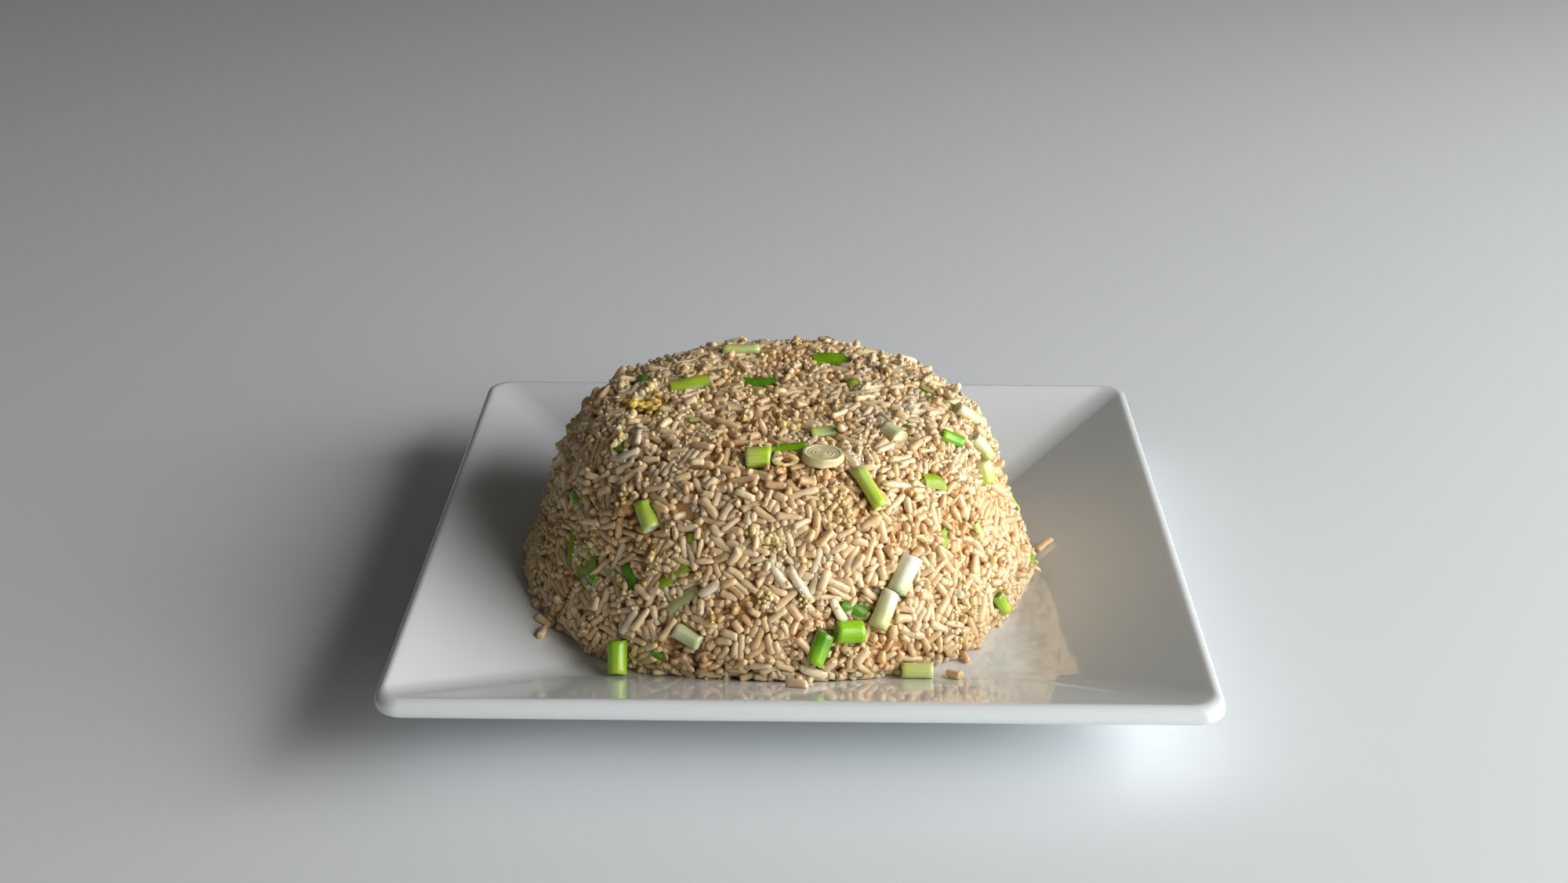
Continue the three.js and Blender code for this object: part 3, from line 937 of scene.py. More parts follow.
# %% Tones that gather in patches
def patchy_tones(spots, spread=0.12, shift=0.0):
    """A strip for each spot: mostly chance, partly a slow wave through the heap."""
    x, y, z = spots.T
    slow = np.sin(x * 0.11 + 1.3) * np.sin(y * 0.13) + np.sin(z * 0.16 + x * 0.07)
    tone = 0.5 + shift + spread * rng.normal(size=len(spots)) + 0.10 * slow
    return (np.clip(tone, 0, 0.999) * STRIPS).astype(int)


print("tones of ten grains:", patchy_tones(centres[:10]))

# %% Make the grains, one piece for each kind
def grain_piece(kind, number):
    templates, length, width = grain_templates(kind)
    mine = np.flatnonzero((kinds == number) & seen)
    which = rng.integers(0, len(templates), len(mine))
    stretch = np.stack([widths[mine] / width, widths[mine] / width, lengths[mine] / length], 1)
    frames = random_frames(axes[mine], len(mine))
    tones = patchy_tones(centres[mine])
    mesh = joined(f"rice_{kind}_grains", templates, which, centres[mine], frames, stretch, tones)
    return keep(mesh.name, mesh, rice_skin, ["rice_heap"])


for number, kind in enumerate(GRAIN_KINDS):
    piece = grain_piece(kind, number)
    triangles = sum(len(p.vertices) - 2 for p in piece.data.polygons)
    print(piece.name, ":", ((kinds == number) & seen).sum(), "grains,", triangles, "triangles")

# %% [markdown]
# ## Grains that lie on top
#
# Not every grain of a turned-out heap is pressed into its skin. Some loose ones lie across
# their neighbours. They are dropped onto the outside, half sunk, and lie along the skin.

# %% Lay the uppermost grains
def top_grains(count):
    spots = random_spots_in_shell(count, 1.8, 0.6)
    out = outward(spots)
    spots += out * (-sample(field, spots) + 0.2 + 0.3 * lumps(spots))[:, None]
    free = (out[:, 2] > -0.2) & ~covers(spots, np.full(count, 3.5), 1.0)
    spots, out = spots[free], out[free]
    aim = unit(square_to(rng.normal(size=spots.shape), out))
    aim = unit(aim + out * rng.normal(0, 0.3, (len(out), 1)))
    templates, length, width = grain_templates("long")
    girth = rng.uniform(2.3, 3.0, len(spots)) / width
    stretch = np.stack([girth, girth, rng.uniform(4.0, 10.5, len(spots)) / length], 1)
    which = rng.integers(0, GRAIN_SHAPES, len(spots))
    frames = random_frames(aim, len(spots))
    tones = patchy_tones(spots, shift=0.04)
    mesh = joined("rice_top_grains", templates, which, spots, frames, stretch, tones)
    keep(mesh.name, mesh, rice_skin, ["rice_heap"])
    return len(spots)


DROPPED = 300
print(top_grains(DROPPED), "grains lie on top")

# %% A few grains that stayed white
WHITE_GRAINS = [
    # the node it lies beside, mm across, mm up, turn, length
    ("onion_tube_shoulder", -1, 13, -45, 9.5), ("onion_stem_olive", -20, 16, 50, 8.5),
    ("onion_curl_green", -13, 24, -58, 12.0), ("onion_curl_green", -6, 21, -58, 12.5),
    ("onion_tube_green", -3, 7, -70, 10.0), ("onion_split_right", 9, 5, 40, 9.0),
    ("onion_stem_low", -20, 1, 65, 10.0), ("onion_curl_green", -2, -8, -20, 9.5),
    ("onion_leaf_back", 0, -30, 20, 9.0), ("onion_leaf_rear", 10, -24, -50, 9.0),
]
laid = [on_skin(*beside(node, across, up), turn, 0.4) for node, across, up, turn, _ in WHITE_GRAINS]
templates, length, width = grain_templates("longest")
stretch = np.array([(1.12, 1.0, own_length / length) for *_, own_length in WHITE_GRAINS])
white_mesh = joined("rice_white_grains", templates, np.arange(len(laid)) % GRAIN_SHAPES,
                    np.array([middle for middle, _ in laid]), np.array([columns for _, columns in laid]),
                    stretch, np.full(len(laid), STRIPS - 5))
keep(white_mesh.name, white_mesh, rice_skin, ["rice_heap"])
print(len(laid), "white grains")

# %% [markdown]
# ## The core of the heap
#
# Under the grains lies more rice that is only seen as brown dark gaps. A smaller rounded body
# fills the heap there. It is coloured a browner, darker tan than the grains: painted shade for
# the dark gaps. It starts as an icosphere, and every point slides out from the middle
# until it lies a fixed depth under the skin, which the distance field tells. A little
# roughness keeps it from looking like a ball.

# %% Build the core
CORE_DEPTH = 2.7


def core_mesh():
    bm = bmesh.new()
    bmesh.ops.create_icosphere(bm, subdivisions=6, radius=1)
    rays = unit(np.array([v.co for v in bm.verts]))
    reach = np.full(len(rays), 8.0)
    for _ in range(60):
        depth = -sample(field, HEAP_MIDDLE + rays * reach[:, None])
        reach += np.clip(depth - CORE_DEPTH, -2.0, 2.0) * 0.7
    spots = HEAP_MIDDLE + rays * reach[:, None]
    wave = np.sin(spots * 1.3).prod(1) + 0.6 * np.sin(spots[:, ::-1] * 1.9 + 1).prod(1)
    spots += rays * (0.7 * wave)[:, None]
    for v, spot in zip(bm.verts, spots):
        v.co = Vector(spot * MM)
    return mesh_from(bm, "rice_core")


def core_material():
    made, tree, shader = new_material("packed_rice_painted_shade", 0.55)
    lumpy = noise(tree, object_place(tree), 420)
    # painted shade: the core is browner and darker than the grains and stands in for the shade deep in the
    # gaps between them
    tone = ramp(tree, [(0.3, colour(202, 148, 88)), (0.7, colour(222, 174, 116))], lumpy)
    tree.links.new(tone, shader.inputs["Base Color"])
    return made


core = keep("rice_core", core_mesh(), core_material(), ["rice_heap"])
print("core:", len(core.data.polygons), "faces")

# %% [markdown]
# ## The skin of cut onion
#
# A green onion runs from white at the root through pale green to dark leaf, with fine lines
# along it, and its cut edge and inside are paler. Each piece carries its own upright
# coordinates as an attribute named "own": the ends are at -1 and 1 in z, and the skin is 1
# away from the middle. The material mixes its low and high colour along z and turns paler
# towards the middle, so one recipe serves every piece.

# %% Onion material
def stood(bm, middle, columns):
    """Moves a piece modelled at the origin, in mm, to its place, in metres."""
    place = Matrix.Translation(Vector(middle)) @ Matrix(columns.tolist()).to_4x4()
    bmesh.ops.transform(bm, matrix=Matrix.Scale(MM, 4) @ place, verts=bm.verts)


def own_pattern(tree, stretch, size):
    """A piece's own coordinates, their X, Y and Z, and fine lines along the piece."""
    own = add_node(tree, "ShaderNodeAttribute", attribute_name="own").outputs["Vector"]
    return own, xyz_of(tree, own), noise(tree, stretched(tree, own, stretch), size, 3)


def onion_skin(name, low, high, flesh, streak):
    made, tree, shader = new_material(name, 0.3, 0.3, 0.25, 0.35, (0.8, 1.0, 0.5))
    own, parts, lines = own_pattern(tree, (5.0, 5.0, 0.35), 1.3)
    lengthwise = maths(tree, "MULTIPLY", parts["Z"], 0.5)
    place = clamped(tree, maths(tree, "ADD", lengthwise, noise(tree, own, 0.9)))
    share = ramp(tree, [(0.40, grey(0)), (0.68, grey(0.55))], lines)
    skin = mixed(tree, share, mixed(tree, place, low, high), streak)
    wide = maths(tree, "POWER", parts["X"], 2.0)
    deep = maths(tree, "POWER", parts["Y"], 2.0)
    radius = maths(tree, "SQRT", maths(tree, "ADD", wide, deep))
    outer = ramp(tree, [(0.76, grey(0)), (0.92, grey(1))], radius)
    tree.links.new(mixed(tree, outer, flesh, skin), shader.inputs["Base Color"])
    return made


print("onion material ready")

# %% Colours of the onion
LIME = colour(196, 222, 66)
FRESH = colour(120, 186, 36)
VIVID = colour(150, 204, 30)
DEEP = colour(76, 142, 28)
DARK = colour(48, 84, 32)
TEAL = colour(72, 108, 74)
BEIGE = colour(238, 224, 176)
YELLOW_GREEN = colour(206, 214, 120)
PALE_GREEN = colour(206, 214, 158)
CREAM = colour(232, 233, 200)
WHITE = colour(246, 246, 236)
SPARE = colour(222, 226, 166)
print("onion colours ready")

# %% [markdown]
# ## Tubes, stems and rings of onion
#
# A cut length of onion is a turned shape: one closed outline of its wall, spun once round.
# A white stem has several layers, one inside the next with a hair of a gap, and that is what
# draws the rings on its cut face. After the spin the piece is squashed, bent and its ends are
# cut slightly askew, because no real piece is a perfect cylinder.

# %% Spin a wall
def spin_wall(bm, inner, outer, half, soft=0.16, steps=8, segments=28):
    """A tube's wall (or a solid rod, if inner is 0) spun round Z, in mm."""
    levels = list(np.linspace(-half + soft, half - soft, steps))
    outline = [(outer - soft, -half)] + [(outer, z) for z in levels] + [(outer - soft, half)]
    if inner > 0:
        outline += [(inner + soft, half)] + [(inner, z) for z in reversed(levels)] + [(inner + soft, -half)]
    else:
        outline = [(0, -half), (outer * 0.5, -half)] + outline + [(outer * 0.5, half), (0, half)]
    verts = [bm.verts.new((x, 0, z)) for x, z in outline]
    ends = list(zip(verts, verts[1:])) + ([(verts[-1], verts[0])] if inner > 0 else [])
    edges = [bm.edges.new(pair) for pair in ends]
    bmesh.ops.spin(bm, geom=verts + edges, cent=(0, 0, 0), axis=(0, 0, 1), dvec=(0, 0, 0),
                   angle=2 * math.pi, steps=segments, use_merge=True, use_duplicate=False)
    bmesh.ops.remove_doubles(bm, verts=bm.verts, dist=1e-4)


def remember_own(bm, outer, half):
    """Keeps every vertex's upright place, as shares of the radius and half length."""
    layer = bm.verts.layers.float_vector.new("own")
    for v in bm.verts:
        v[layer] = (v.co.x / outer, v.co.y / outer, v.co.z / half)


def weather(bm, halves, seed, bend=0.05, askew=0.12, ribs=0.02):
    """Squashes, bends and roughens a round piece until it fits its half sizes."""
    shaky = np.random.default_rng(seed)
    bow = shaky.uniform(-bend, bend) * halves[2]
    cut = shaky.uniform(-askew, askew, 2)
    phase = shaky.uniform(0, 6)
    for v in bm.verts:
        x, y, z = v.co
        angle = math.atan2(y, x)
        end = z / halves[2]
        grow = 1 + ribs * math.sin(9 * angle + phase) + 0.03 * math.sin(2 * angle + 2 * end + phase)
        lean = (cut[0] if end > 0 else cut[1]) * x * halves[0] * abs(end)
        v.co = (x * halves[0] * grow * 0.98, y * halves[1] * grow * 0.98,
                z + lean + 0.04 * math.sin(5 * angle + end))
        v.co.y += bow * (1 - end * end)


def tube_shape(layers, halves, seed, bend=0.05, askew=0.12, segments=28):
    """A round cut of onion. Each layer is an inner and an outer radius, as shares of 1."""
    bm = bmesh.new()
    for inner, outer in layers:
        spin_wall(bm, inner, outer, halves[2] - (0 if outer > 0.9 else 0.12), 0.05, 8, segments)
    remember_own(bm, 1.0, halves[2])
    weather(bm, halves, seed, bend, askew)
    return bm


def seed_of(name):
    return sum(ord(letter) for letter in name)


print("a piece's own name gives its seed, such as", seed_of("onion_stem_low"))

# %% Every round piece
HOLLOW = [(0.66, 1.0)]
DOUBLE = [(0.72, 1.0), (0.36, 0.66)]
RINGS = [(0.81, 1.0), (0.62, 0.805), (0.43, 0.615), (0.24, 0.425), (0, 0.235)]
FULL = [(0.80, 1.0), (0.55, 0.77), (0.30, 0.52), (0, 0.27)]
ROUND_PIECES = {
    # node: (layers, low end, high end, flesh, lines, slot)
    "onion_tube_shoulder": (DOUBLE, LIME, YELLOW_GREEN, SPARE, FRESH, "onion_green"),
    "onion_ring_slice": (RINGS, BEIGE, BEIGE, BEIGE, SPARE, "onion_white"),
    "onion_cut_pale": (DOUBLE, YELLOW_GREEN, LIME, CREAM, FRESH, "onion_pale"),
    "onion_stem_round": (FULL, PALE_GREEN, CREAM, CREAM, YELLOW_GREEN, "onion_pale"),
    "onion_pale_side": (DOUBLE, SPARE, CREAM, CREAM, YELLOW_GREEN, "onion_pale"),
    "onion_tube_side": (DOUBLE, LIME, SPARE, CREAM, YELLOW_GREEN, "onion_pale"),
    "onion_cut_side": (HOLLOW, FRESH, VIVID, SPARE, DEEP, "onion_green"),
    "onion_pale_edge": (DOUBLE, SPARE, CREAM, CREAM, YELLOW_GREEN, "onion_pale"),
    "onion_stem_white": (FULL, PALE_GREEN, WHITE, WHITE, CREAM, "onion_white"),
    "onion_stem_pale": (FULL, YELLOW_GREEN, CREAM, CREAM, WHITE, "onion_pale"),
    "onion_tube_green": (HOLLOW, VIVID, VIVID, YELLOW_GREEN, FRESH, "onion_green"),
    "onion_curl_green": (HOLLOW, VIVID, DEEP, LIME, FRESH, "onion_green"),
    "onion_stem_low": (DOUBLE, PALE_GREEN, CREAM, CREAM, SPARE, "onion_pale"),
    "onion_stem_olive": (DOUBLE, YELLOW_GREEN, LIME, CREAM, FRESH, "onion_pale"),
    "onion_stem_buried": (DOUBLE, YELLOW_GREEN, PALE_GREEN, CREAM, FRESH, "onion_pale"),
    "onion_tube_back": (DOUBLE, YELLOW_GREEN, SPARE, CREAM, FRESH, "onion_pale"),
    "onion_cut_right": (HOLLOW, LIME, FRESH, SPARE, YELLOW_GREEN, "onion_green"),
    "onion_tube_loose": (DOUBLE, YELLOW_GREEN, SPARE, SPARE, LIME, "onion_green"),
    "onion_tube_leaning": (HOLLOW, LIME, VIVID, SPARE, FRESH, "onion_green"),
}
for node, (layers, low_tone, high_tone, flesh, lines, slot) in ROUND_PIECES.items():
    middle, columns, halves = stances[node]
    bm = tube_shape(layers, halves, seed_of(node))
    stood(bm, middle, columns)
    skin = onion_skin(f"{node}_skin", low_tone, high_tone, flesh, lines)
    keep(f"{node}_cut", mesh_from(bm, f"{node}_cut"), skin, [node])
print(len(ROUND_PIECES), "round pieces of onion")

# %% [markdown]
# ## Strips of onion leaf
#
# Where a leaf split open it is a thin bowed strip. A grid, extruded once, makes a flat slab.
# Bending that slab round a cylinder in a formula gives the bow across, and a wave and a
# pointed end keep the strips from looking stamped. The outside of a leaf is darker than
# its inside.

# %% Leaf material and shape
def leaf_skin(name, low, high, inside, streak):
    made, tree, shader = new_material(name, 0.28, 0.35, 0.15, 0.2, (0.7, 1.0, 0.4))
    _, parts, lines = own_pattern(tree, (7.0, 0.0, 0.5), 1.2)
    place = clamped(tree, maths(tree, "ADD", maths(tree, "MULTIPLY", parts["Z"], 0.6), lines))
    share = ramp(tree, [(0.42, grey(0)), (0.7, grey(0.6))], lines)
    skin = mixed(tree, share, mixed(tree, place, low, high), streak)
    side = maths(tree, "ADD", maths(tree, "MULTIPLY", parts["Y"], 0.5), 0.5)
    outer = ramp(tree, [(0.35, grey(0)), (0.6, grey(1))], side)
    tree.links.new(mixed(tree, outer, inside, skin), shader.inputs["Base Color"])
    return made


def leaf_strip(halves, seed, thick=0.9, spread=0.95, pointed=0.35):
    """A bowed strip of leaf along Z whose outside faces +Y, in mm."""
    shaky = np.random.default_rng(seed)
    bm = bmesh.new()
    bmesh.ops.create_grid(bm, x_segments=8, y_segments=14, size=1)
    bmesh.ops.rotate(bm, cent=(0, 0, 0), matrix=Matrix.Rotation(math.pi / 2, 3, "X"), verts=bm.verts)
    grown = bmesh.ops.extrude_face_region(bm, geom=bm.faces[:])["geom"]
    raised = {g for g in grown if isinstance(g, bmesh.types.BMVert)}
    layer = bm.verts.layers.float_vector.new("own")
    radius = halves[0] / math.sin(spread)
    askew, wave, tip = shaky.uniform(-0.5, 0.5), shaky.uniform(0, 6), shaky.uniform(0.5, 1.2)
    for v in bm.verts:
        x, z = v.co.x, v.co.z
        side = 1 if v in raised else -1
        v[layer] = (x, side, z)
        narrow = 1 - pointed * tip * max(0, z) ** 3 - pointed * 0.5 * max(0, -z) ** 4
        angle = x * spread * narrow
        reach = radius + side * thick * 0.5 * (1 - 0.45 * abs(x) ** 3)
        bow = (halves[1] * 0.35) * (1 - z * z)
        ripple = 0.10 * math.sin(6 * z + wave + 2 * x)
        v.co = (reach * math.sin(angle) + 0.12 * halves[0] * math.sin(2.5 * z + wave),
                reach * math.cos(angle) - radius * 0.82 + bow * 0.4 + ripple,
                z * halves[2] + askew * x * halves[0] * abs(z))
    return bm


print("leaf material and shape ready")

# %% Every strip of leaf
STRIPS_OF_LEAF = {
    # node: (low end, high end, inside, lines, slot, thickness)
    "onion_strip_top": (FRESH, VIVID, VIVID, DEEP, "onion_green", 1.2),
    "onion_arc_back": (FRESH, VIVID, VIVID, DEEP, "onion_green", 1.2),
    "onion_bit_front": (VIVID, FRESH, LIME, DEEP, "onion_green", 1.3),
    "onion_split_left": (FRESH, VIVID, LIME, DEEP, "onion_green", 1.2),
    "onion_split_right": (YELLOW_GREEN, VIVID, SPARE, FRESH, "onion_pale", 1.3),
    "onion_strip_left": (DEEP, FRESH, LIME, DARK, "onion_green", 1.1),
    "onion_cut_left": (FRESH, FRESH, LIME, DEEP, "onion_green", 1.3),
    "onion_leaf_left": (DARK, DEEP, FRESH, TEAL, "onion_dark", 1.0),
    "onion_leaf_teal": (TEAL, PALE_GREEN, SPARE, DARK, "onion_dark", 1.0),
    "onion_leaf_under": (DARK, DEEP, FRESH, DEEP, "onion_dark", 1.0),
    "onion_leaf_rear": (DARK, DEEP, FRESH, DEEP, "onion_dark", 1.0),
    "onion_leaf_crown": (DEEP, VIVID, LIME, FRESH, "onion_green", 1.3),
    "onion_leaf_dark": (DARK, DEEP, FRESH, TEAL, "onion_dark", 1.0),
    "onion_leaf_back": (DEEP, FRESH, VIVID, DARK, "onion_green", 1.3),
}
for node, (low_tone, high_tone, within, lines, slot, thick) in STRIPS_OF_LEAF.items():
    middle, columns, halves = stances[node]
    bm = leaf_strip(halves, seed_of(node), thick)
    stood(bm, middle, columns)
    skin = leaf_skin(f"{node}_skin", low_tone, high_tone, within, lines)
    keep(f"{node}_cut", mesh_from(bm, f"{node}_cut"), skin, [node])
print(len(STRIPS_OF_LEAF), "strips of leaf")

# %% [markdown]
# ## Egg and the browned lump
#
# Scrambled egg is a loose clump of soft curds. A handful of small balls, pushed into one
# another, are melted into one skin by the Remesh modifier, which rebuilds the surface on a
# fine grid. That gives the folds between curds for free.

# %% Clumps
def clump(node, name, spots, sizes, material, grain=0.34):
    middle, columns, halves = stances[node]
    bm = bmesh.new()
    shaky = np.random.default_rng(len(name))
    for spot, size in zip(spots, sizes):
        ball = bmesh.ops.create_icosphere(bm, subdivisions=2, radius=1)["verts"]
        for v in ball:
            v.co *= size * (1 + 0.12 * shaky.normal())
            v.co += Vector(spot) * 1.0
    for v in bm.verts:
        v.co = (v.co.x * halves[0], v.co.y * halves[1], v.co.z * halves[2])
    stood(bm, middle, columns)
    piece = keep(name, mesh_from(bm, name), material, [node])
    melt = piece.modifiers.new("melt", "REMESH")
    melt.mode = "VOXEL"
    melt.voxel_size = grain * MM
    melt.use_smooth_shade = True
    return piece


def egg_material(name, *tones):
    made, tree, shader = new_material(name, 0.42, 0.2, 0.2, 0.4, (1.0, 0.75, 0.4))
    stops = list(zip((0.32, 0.5, 0.68), tones))
    clouds = noise(tree, object_place(tree), 260, 4)
    tree.links.new(ramp(tree, stops, clouds), shader.inputs["Base Color"])
    return made


print("clumps can be melted")

# %% The egg and the lump
egg_skin = egg_material("scrambled_egg", colour(206, 158, 62), colour(236, 202, 98), colour(247, 230, 156))
pale_egg_skin = egg_material("pale_egg", colour(214, 168, 92), colour(240, 218, 154), colour(248, 236, 196))
crust_skin = egg_material("browned_rice", colour(140, 98, 58), colour(186, 148, 104), colour(214, 190, 154))
ring = np.linspace(0.3, 5.6, 13)
curl = np.stack([0.62 * np.cos(ring), 0.18 * np.sin(2 * ring), 0.72 * np.sin(ring)], 1)
clump("egg_curl", "egg_curl_cooked", curl, np.full(13, 0.32), pale_egg_skin, 0.28)
scatter = np.random.default_rng(4)
curds = scatter.normal(size=(60, 3)) * (0.46, 0.36, 0.46)
clump("egg_crown", "egg_crown_cooked", np.clip(curds, -0.84, 0.84),
      scatter.uniform(0.13, 0.24, 60), egg_skin, 0.3)
bits = scatter.normal(size=(22, 3)) * (0.4, 0.35, 0.45)
clump("rice_crust", "rice_crust_browned", np.clip(bits, -0.75, 0.75),
      scatter.uniform(0.22, 0.36, 22), crust_skin)
print("clumps made")

# %% [markdown]
# ## Broken rice in the gaps
#
# Between the grains sit broken bits of rice. To find room for them, the script throws many
# random points under the skin and keeps those that lie in a gap: near a grain but not inside
# one. Each bit is a little wider than its gap, so it is wedged between its neighbours.

# %% Find the gaps between grains
def gap_at(spots, reach=3.2):
    """Distance from each spot to the nearest grain, in mm."""
    balls = centres[owner] + axes[owner] * along[:, None]
    together = np.vstack([spots, balls])
    first, second = near_pairs(together, reach)
    low_index, high_index = np.minimum(first, second), np.maximum(first, second)
    mixed_pair = (low_index < len(spots)) & (high_index >= len(spots))
    spot_index, ball_index = low_index[mixed_pair], high_index[mixed_pair] - len(spots)
    far = np.linalg.norm(spots[spot_index] - balls[ball_index], axis=1) - ball_radius[ball_index]
    gaps = np.full(len(spots), reach)
    np.minimum.at(gaps, spot_index, far)
    return gaps


print("gap at the heap's middle:", gap_at(HEAP_MIDDLE[None]).round(1), "mm")

# %% Make small rough bits and wedge them in
CRUMB_SHAPES = 8


def crumb_template(seed, smooth_ball, rough):
    bm = bmesh.new()
    if smooth_ball:
        bmesh.ops.create_icosphere(bm, subdivisions=2, radius=1)
    else:
        bmesh.ops.create_uvsphere(bm, u_segments=6, v_segments=4, radius=1)
    shaky = np.random.default_rng(seed)
    for v in bm.verts:
        v.co *= 1 + rough * shaky.uniform(-1, 1)
    skin_map(bm, 1.25)
    return mesh_from(bm, "crumb_template")


def crumb_piece(name, spots, radii, tones, material, smooth_ball=False, rough=0.22, longer=1.0):
    templates = [crumb_template(70 + n, smooth_ball, rough) for n in range(CRUMB_SHAPES)]
    count = len(spots)
    aim = unit(rng.normal(size=(count, 3)))
    stretch = radii[:, None] * rng.uniform(0.75, 1.25, (count, 3))
    stretch[:, 2] *= longer
    which = rng.integers(0, CRUMB_SHAPES, count)
    mesh = joined(name, templates, which, spots, random_frames(aim, count), stretch, tones)
    return keep(name, mesh, material, ["rice_heap"])


TRIES = 26000
CHIPS = 2200
spots = random_spots_in_shell(TRIES, 3.2, 0.5)
spots = spots[outward(spots)[:, 2] > -0.5]
gaps = gap_at(spots)
fit = (gaps > 0.15) & ~covers(spots, gaps + 0.5)
spots, gaps = spots[fit][:CHIPS], gaps[fit][:CHIPS]
# the chips take tones a little darker than the grains (shift -0.05) from the browner ramp: partly broken
# rice's own tone, partly painted shade of the gaps they fill
crumb_piece("rice_chips", spots, gaps * 0.6 + 0.62, patchy_tones(spots, 0.15, -0.05), broken_skin,
            False, 0.2, 2.2)
print(len(spots), "broken bits, mean gap", round(float(gaps.mean()), 2), "mm")

# %% [markdown]
# ## Crumbs that stick to the grains
#
# Fine crumbs of rice and egg stick to the outside of the grains, more in some places than in
# others. Each starts from one of the balls that stood for the grains: a random outward
# direction from the ball's middle gives a point on the grain's skin.

# %% Crumbs on the grains
def on_grains(count, patches=0, reach=9.0):
    """Points on the outer side of the kept grains; with patches, gathered round a few."""
    balls = centres[owner] + axes[owner] * along[:, None]
    shallow = np.flatnonzero(seen[owner] & (-sample(field, balls) < 2.4) & (outward(balls)[:, 2] > -0.3))
    if patches:
        seeds = balls[rng.choice(shallow, patches)]
        nearest = np.min(np.linalg.norm(balls[shallow][:, None] - seeds[None], axis=2), axis=1)
        shallow = shallow[rng.random(len(shallow)) < np.exp(-(nearest / reach) ** 2)]
    picked = rng.choice(shallow, count)
    lean = outward(balls[picked]) + 0.55 * rng.normal(size=(count, 3))
    lean -= (lean * axes[owner[picked]]).sum(1, keepdims=True) * axes[owner[picked]] * 0.8
    spots = balls[picked] + unit(lean) * ball_radius[picked, None] * 0.97
    return spots[~covers(spots, np.full(count, 0.3), 1.0)]


fine = np.vstack([on_grains(800), on_grains(1450, 26, 9.0)])
crumb_piece("rice_crumbs", fine, rng.uniform(0.25, 0.7, len(fine)), patchy_tones(fine, 0.16, 0.25),
            broken_skin, False, 0.3, 1.3)
print(len(fine), "rice crumbs")

# %% Crumbs and flakes of egg
egg_crumb_skin, *_ = strip_material(
    "egg_crumbs",
    [(0.0, colour(208, 164, 84)), (0.25, colour(232, 204, 124)), (0.6, colour(243, 225, 160)),
     (1.0, colour(249, 238, 200))],
    colour(210, 168, 88), roughness=0.4, coat=0.15, mottled=0.5)
# mm across and up from the egg on the crown, and size
FLAKES_BY_CROWN = [(10, -6, 3.0), (18, -12, 2.4), (-10, 2, 2.6), (44, 20, 2.0)]
FLAKES_STREWN = 22
CRUMBS_IN_FLAKE = 9


def egg_flakes():
    """Small heaps of egg crumbs, nine to a place, and how big each crumb is."""
    places = [(*beside("egg_crown", across, up), size) for across, up, size in FLAKES_BY_CROWN]
    draw = np.random.default_rng(31)
    places += [(*place, draw.uniform(1.2, 2.4)) for place in strewn(FLAKES_STREWN, 29, 9)]
    found, sizes = [], []
    for bearing, height, size in places:
        middle, columns = on_skin(bearing, height, 0, -0.2)
        step = rng.normal(size=(CRUMBS_IN_FLAKE, 3)) * (0.75 * size, 0.18 * size, 0.55 * size)
        found.append(middle + step @ columns.T)
        sizes.append(rng.uniform(0.28, 0.52, CRUMBS_IN_FLAKE) * size)
    return np.vstack(found), np.concatenate(sizes)


flake_spots, flake_radii = egg_flakes()
egg_spots = np.vstack([on_grains(150), on_grains(420, 26, 5.0)])
egg_radii = np.clip(rng.lognormal(-0.4, 0.42, len(egg_spots)) * 0.85, 0.3, 1.5)
egg_spots, egg_radii = np.vstack([egg_spots, flake_spots]), np.append(egg_radii, flake_radii)
crumb_piece("egg_crumbs", egg_spots, egg_radii, patchy_tones(egg_spots, 0.25), egg_crumb_skin,
            True, 0.24, 1.2)
print(len(egg_spots), "egg crumbs")

# %% Browned bits and pepper
brown_skin, *_ = strip_material(
    "browned_bits", [(0.0, colour(112, 62, 34)), (0.5, colour(158, 96, 54)), (1.0, colour(190, 136, 84))],
    colour(120, 70, 40), roughness=0.4, coat=0.2, mottled=0.5)
brown_spots = on_grains(60)
crumb_piece("browned_bits", brown_spots, rng.uniform(0.4, 0.9, len(brown_spots)), patchy_tones(brown_spots),
            brown_skin, True, 0.3, 1.3)
pepper_skin, _, pepper_shader = new_material("pepper", 0.5)
pepper_shader.inputs["Base Color"].default_value = colour(60, 46, 36)
specks = on_grains(34)
crumb_piece("pepper_specks", specks, rng.uniform(0.18, 0.34, len(specks)), patchy_tones(specks), pepper_skin,
            False, 0.3, 1.0)
print(len(brown_spots), "browned bits and", len(specks), "specks of pepper")

# %% [markdown]
# ## The smaller cuts
#
# The smaller cuts reuse the tube and the leaf strip, with fewer faces. Each kind is joined
# into one mesh: a finished little bmesh is written to a passing mesh and read back into the
# one that gathers them.

# %% Gather the smaller cuts, one piece for each kind
SMALL_SKINS = {
    # kind: (low end, high end, inside, lines, slot)
    "green": (VIVID, FRESH, LIME, DEEP, "onion_green"),
    "dark": (DARK, DEEP, FRESH, TEAL, "onion_dark"),
    "pale": (YELLOW_GREEN, SPARE, CREAM, LIME, "onion_pale"),
}


def gather(name, kind, material):
    whole = bmesh.new()
    whole.verts.layers.float_vector.new("own")
    for number, (its_kind, middle, columns, halves) in enumerate(small_stances):
        if its_kind != kind:
            continue
        if kind == "pale" or (kind == "green" and number % 3 == 0):
            bm = tube_shape(HOLLOW, halves, 300 + number, 0.1, 0.2, 18)
        else:
            bm = leaf_strip(halves, 300 + number, 0.9, 0.95, 0.6)
        stood(bm, middle, columns)
        passing = mesh_from(bm, "passing")
        whole.from_mesh(passing)
        bpy.data.meshes.remove(passing)
    return keep(name, mesh_from(whole, name), material, ["rice_heap"])


for kind, (low_tone, high_tone, within, lines, slot) in SMALL_SKINS.items():
    skin_maker = onion_skin if kind == "pale" else leaf_skin
    skin = skin_maker(f"small_{kind}_skin", low_tone, high_tone, within, lines)
    gather(f"small_cuts_{kind}", kind, skin)
print("smaller cuts gathered")

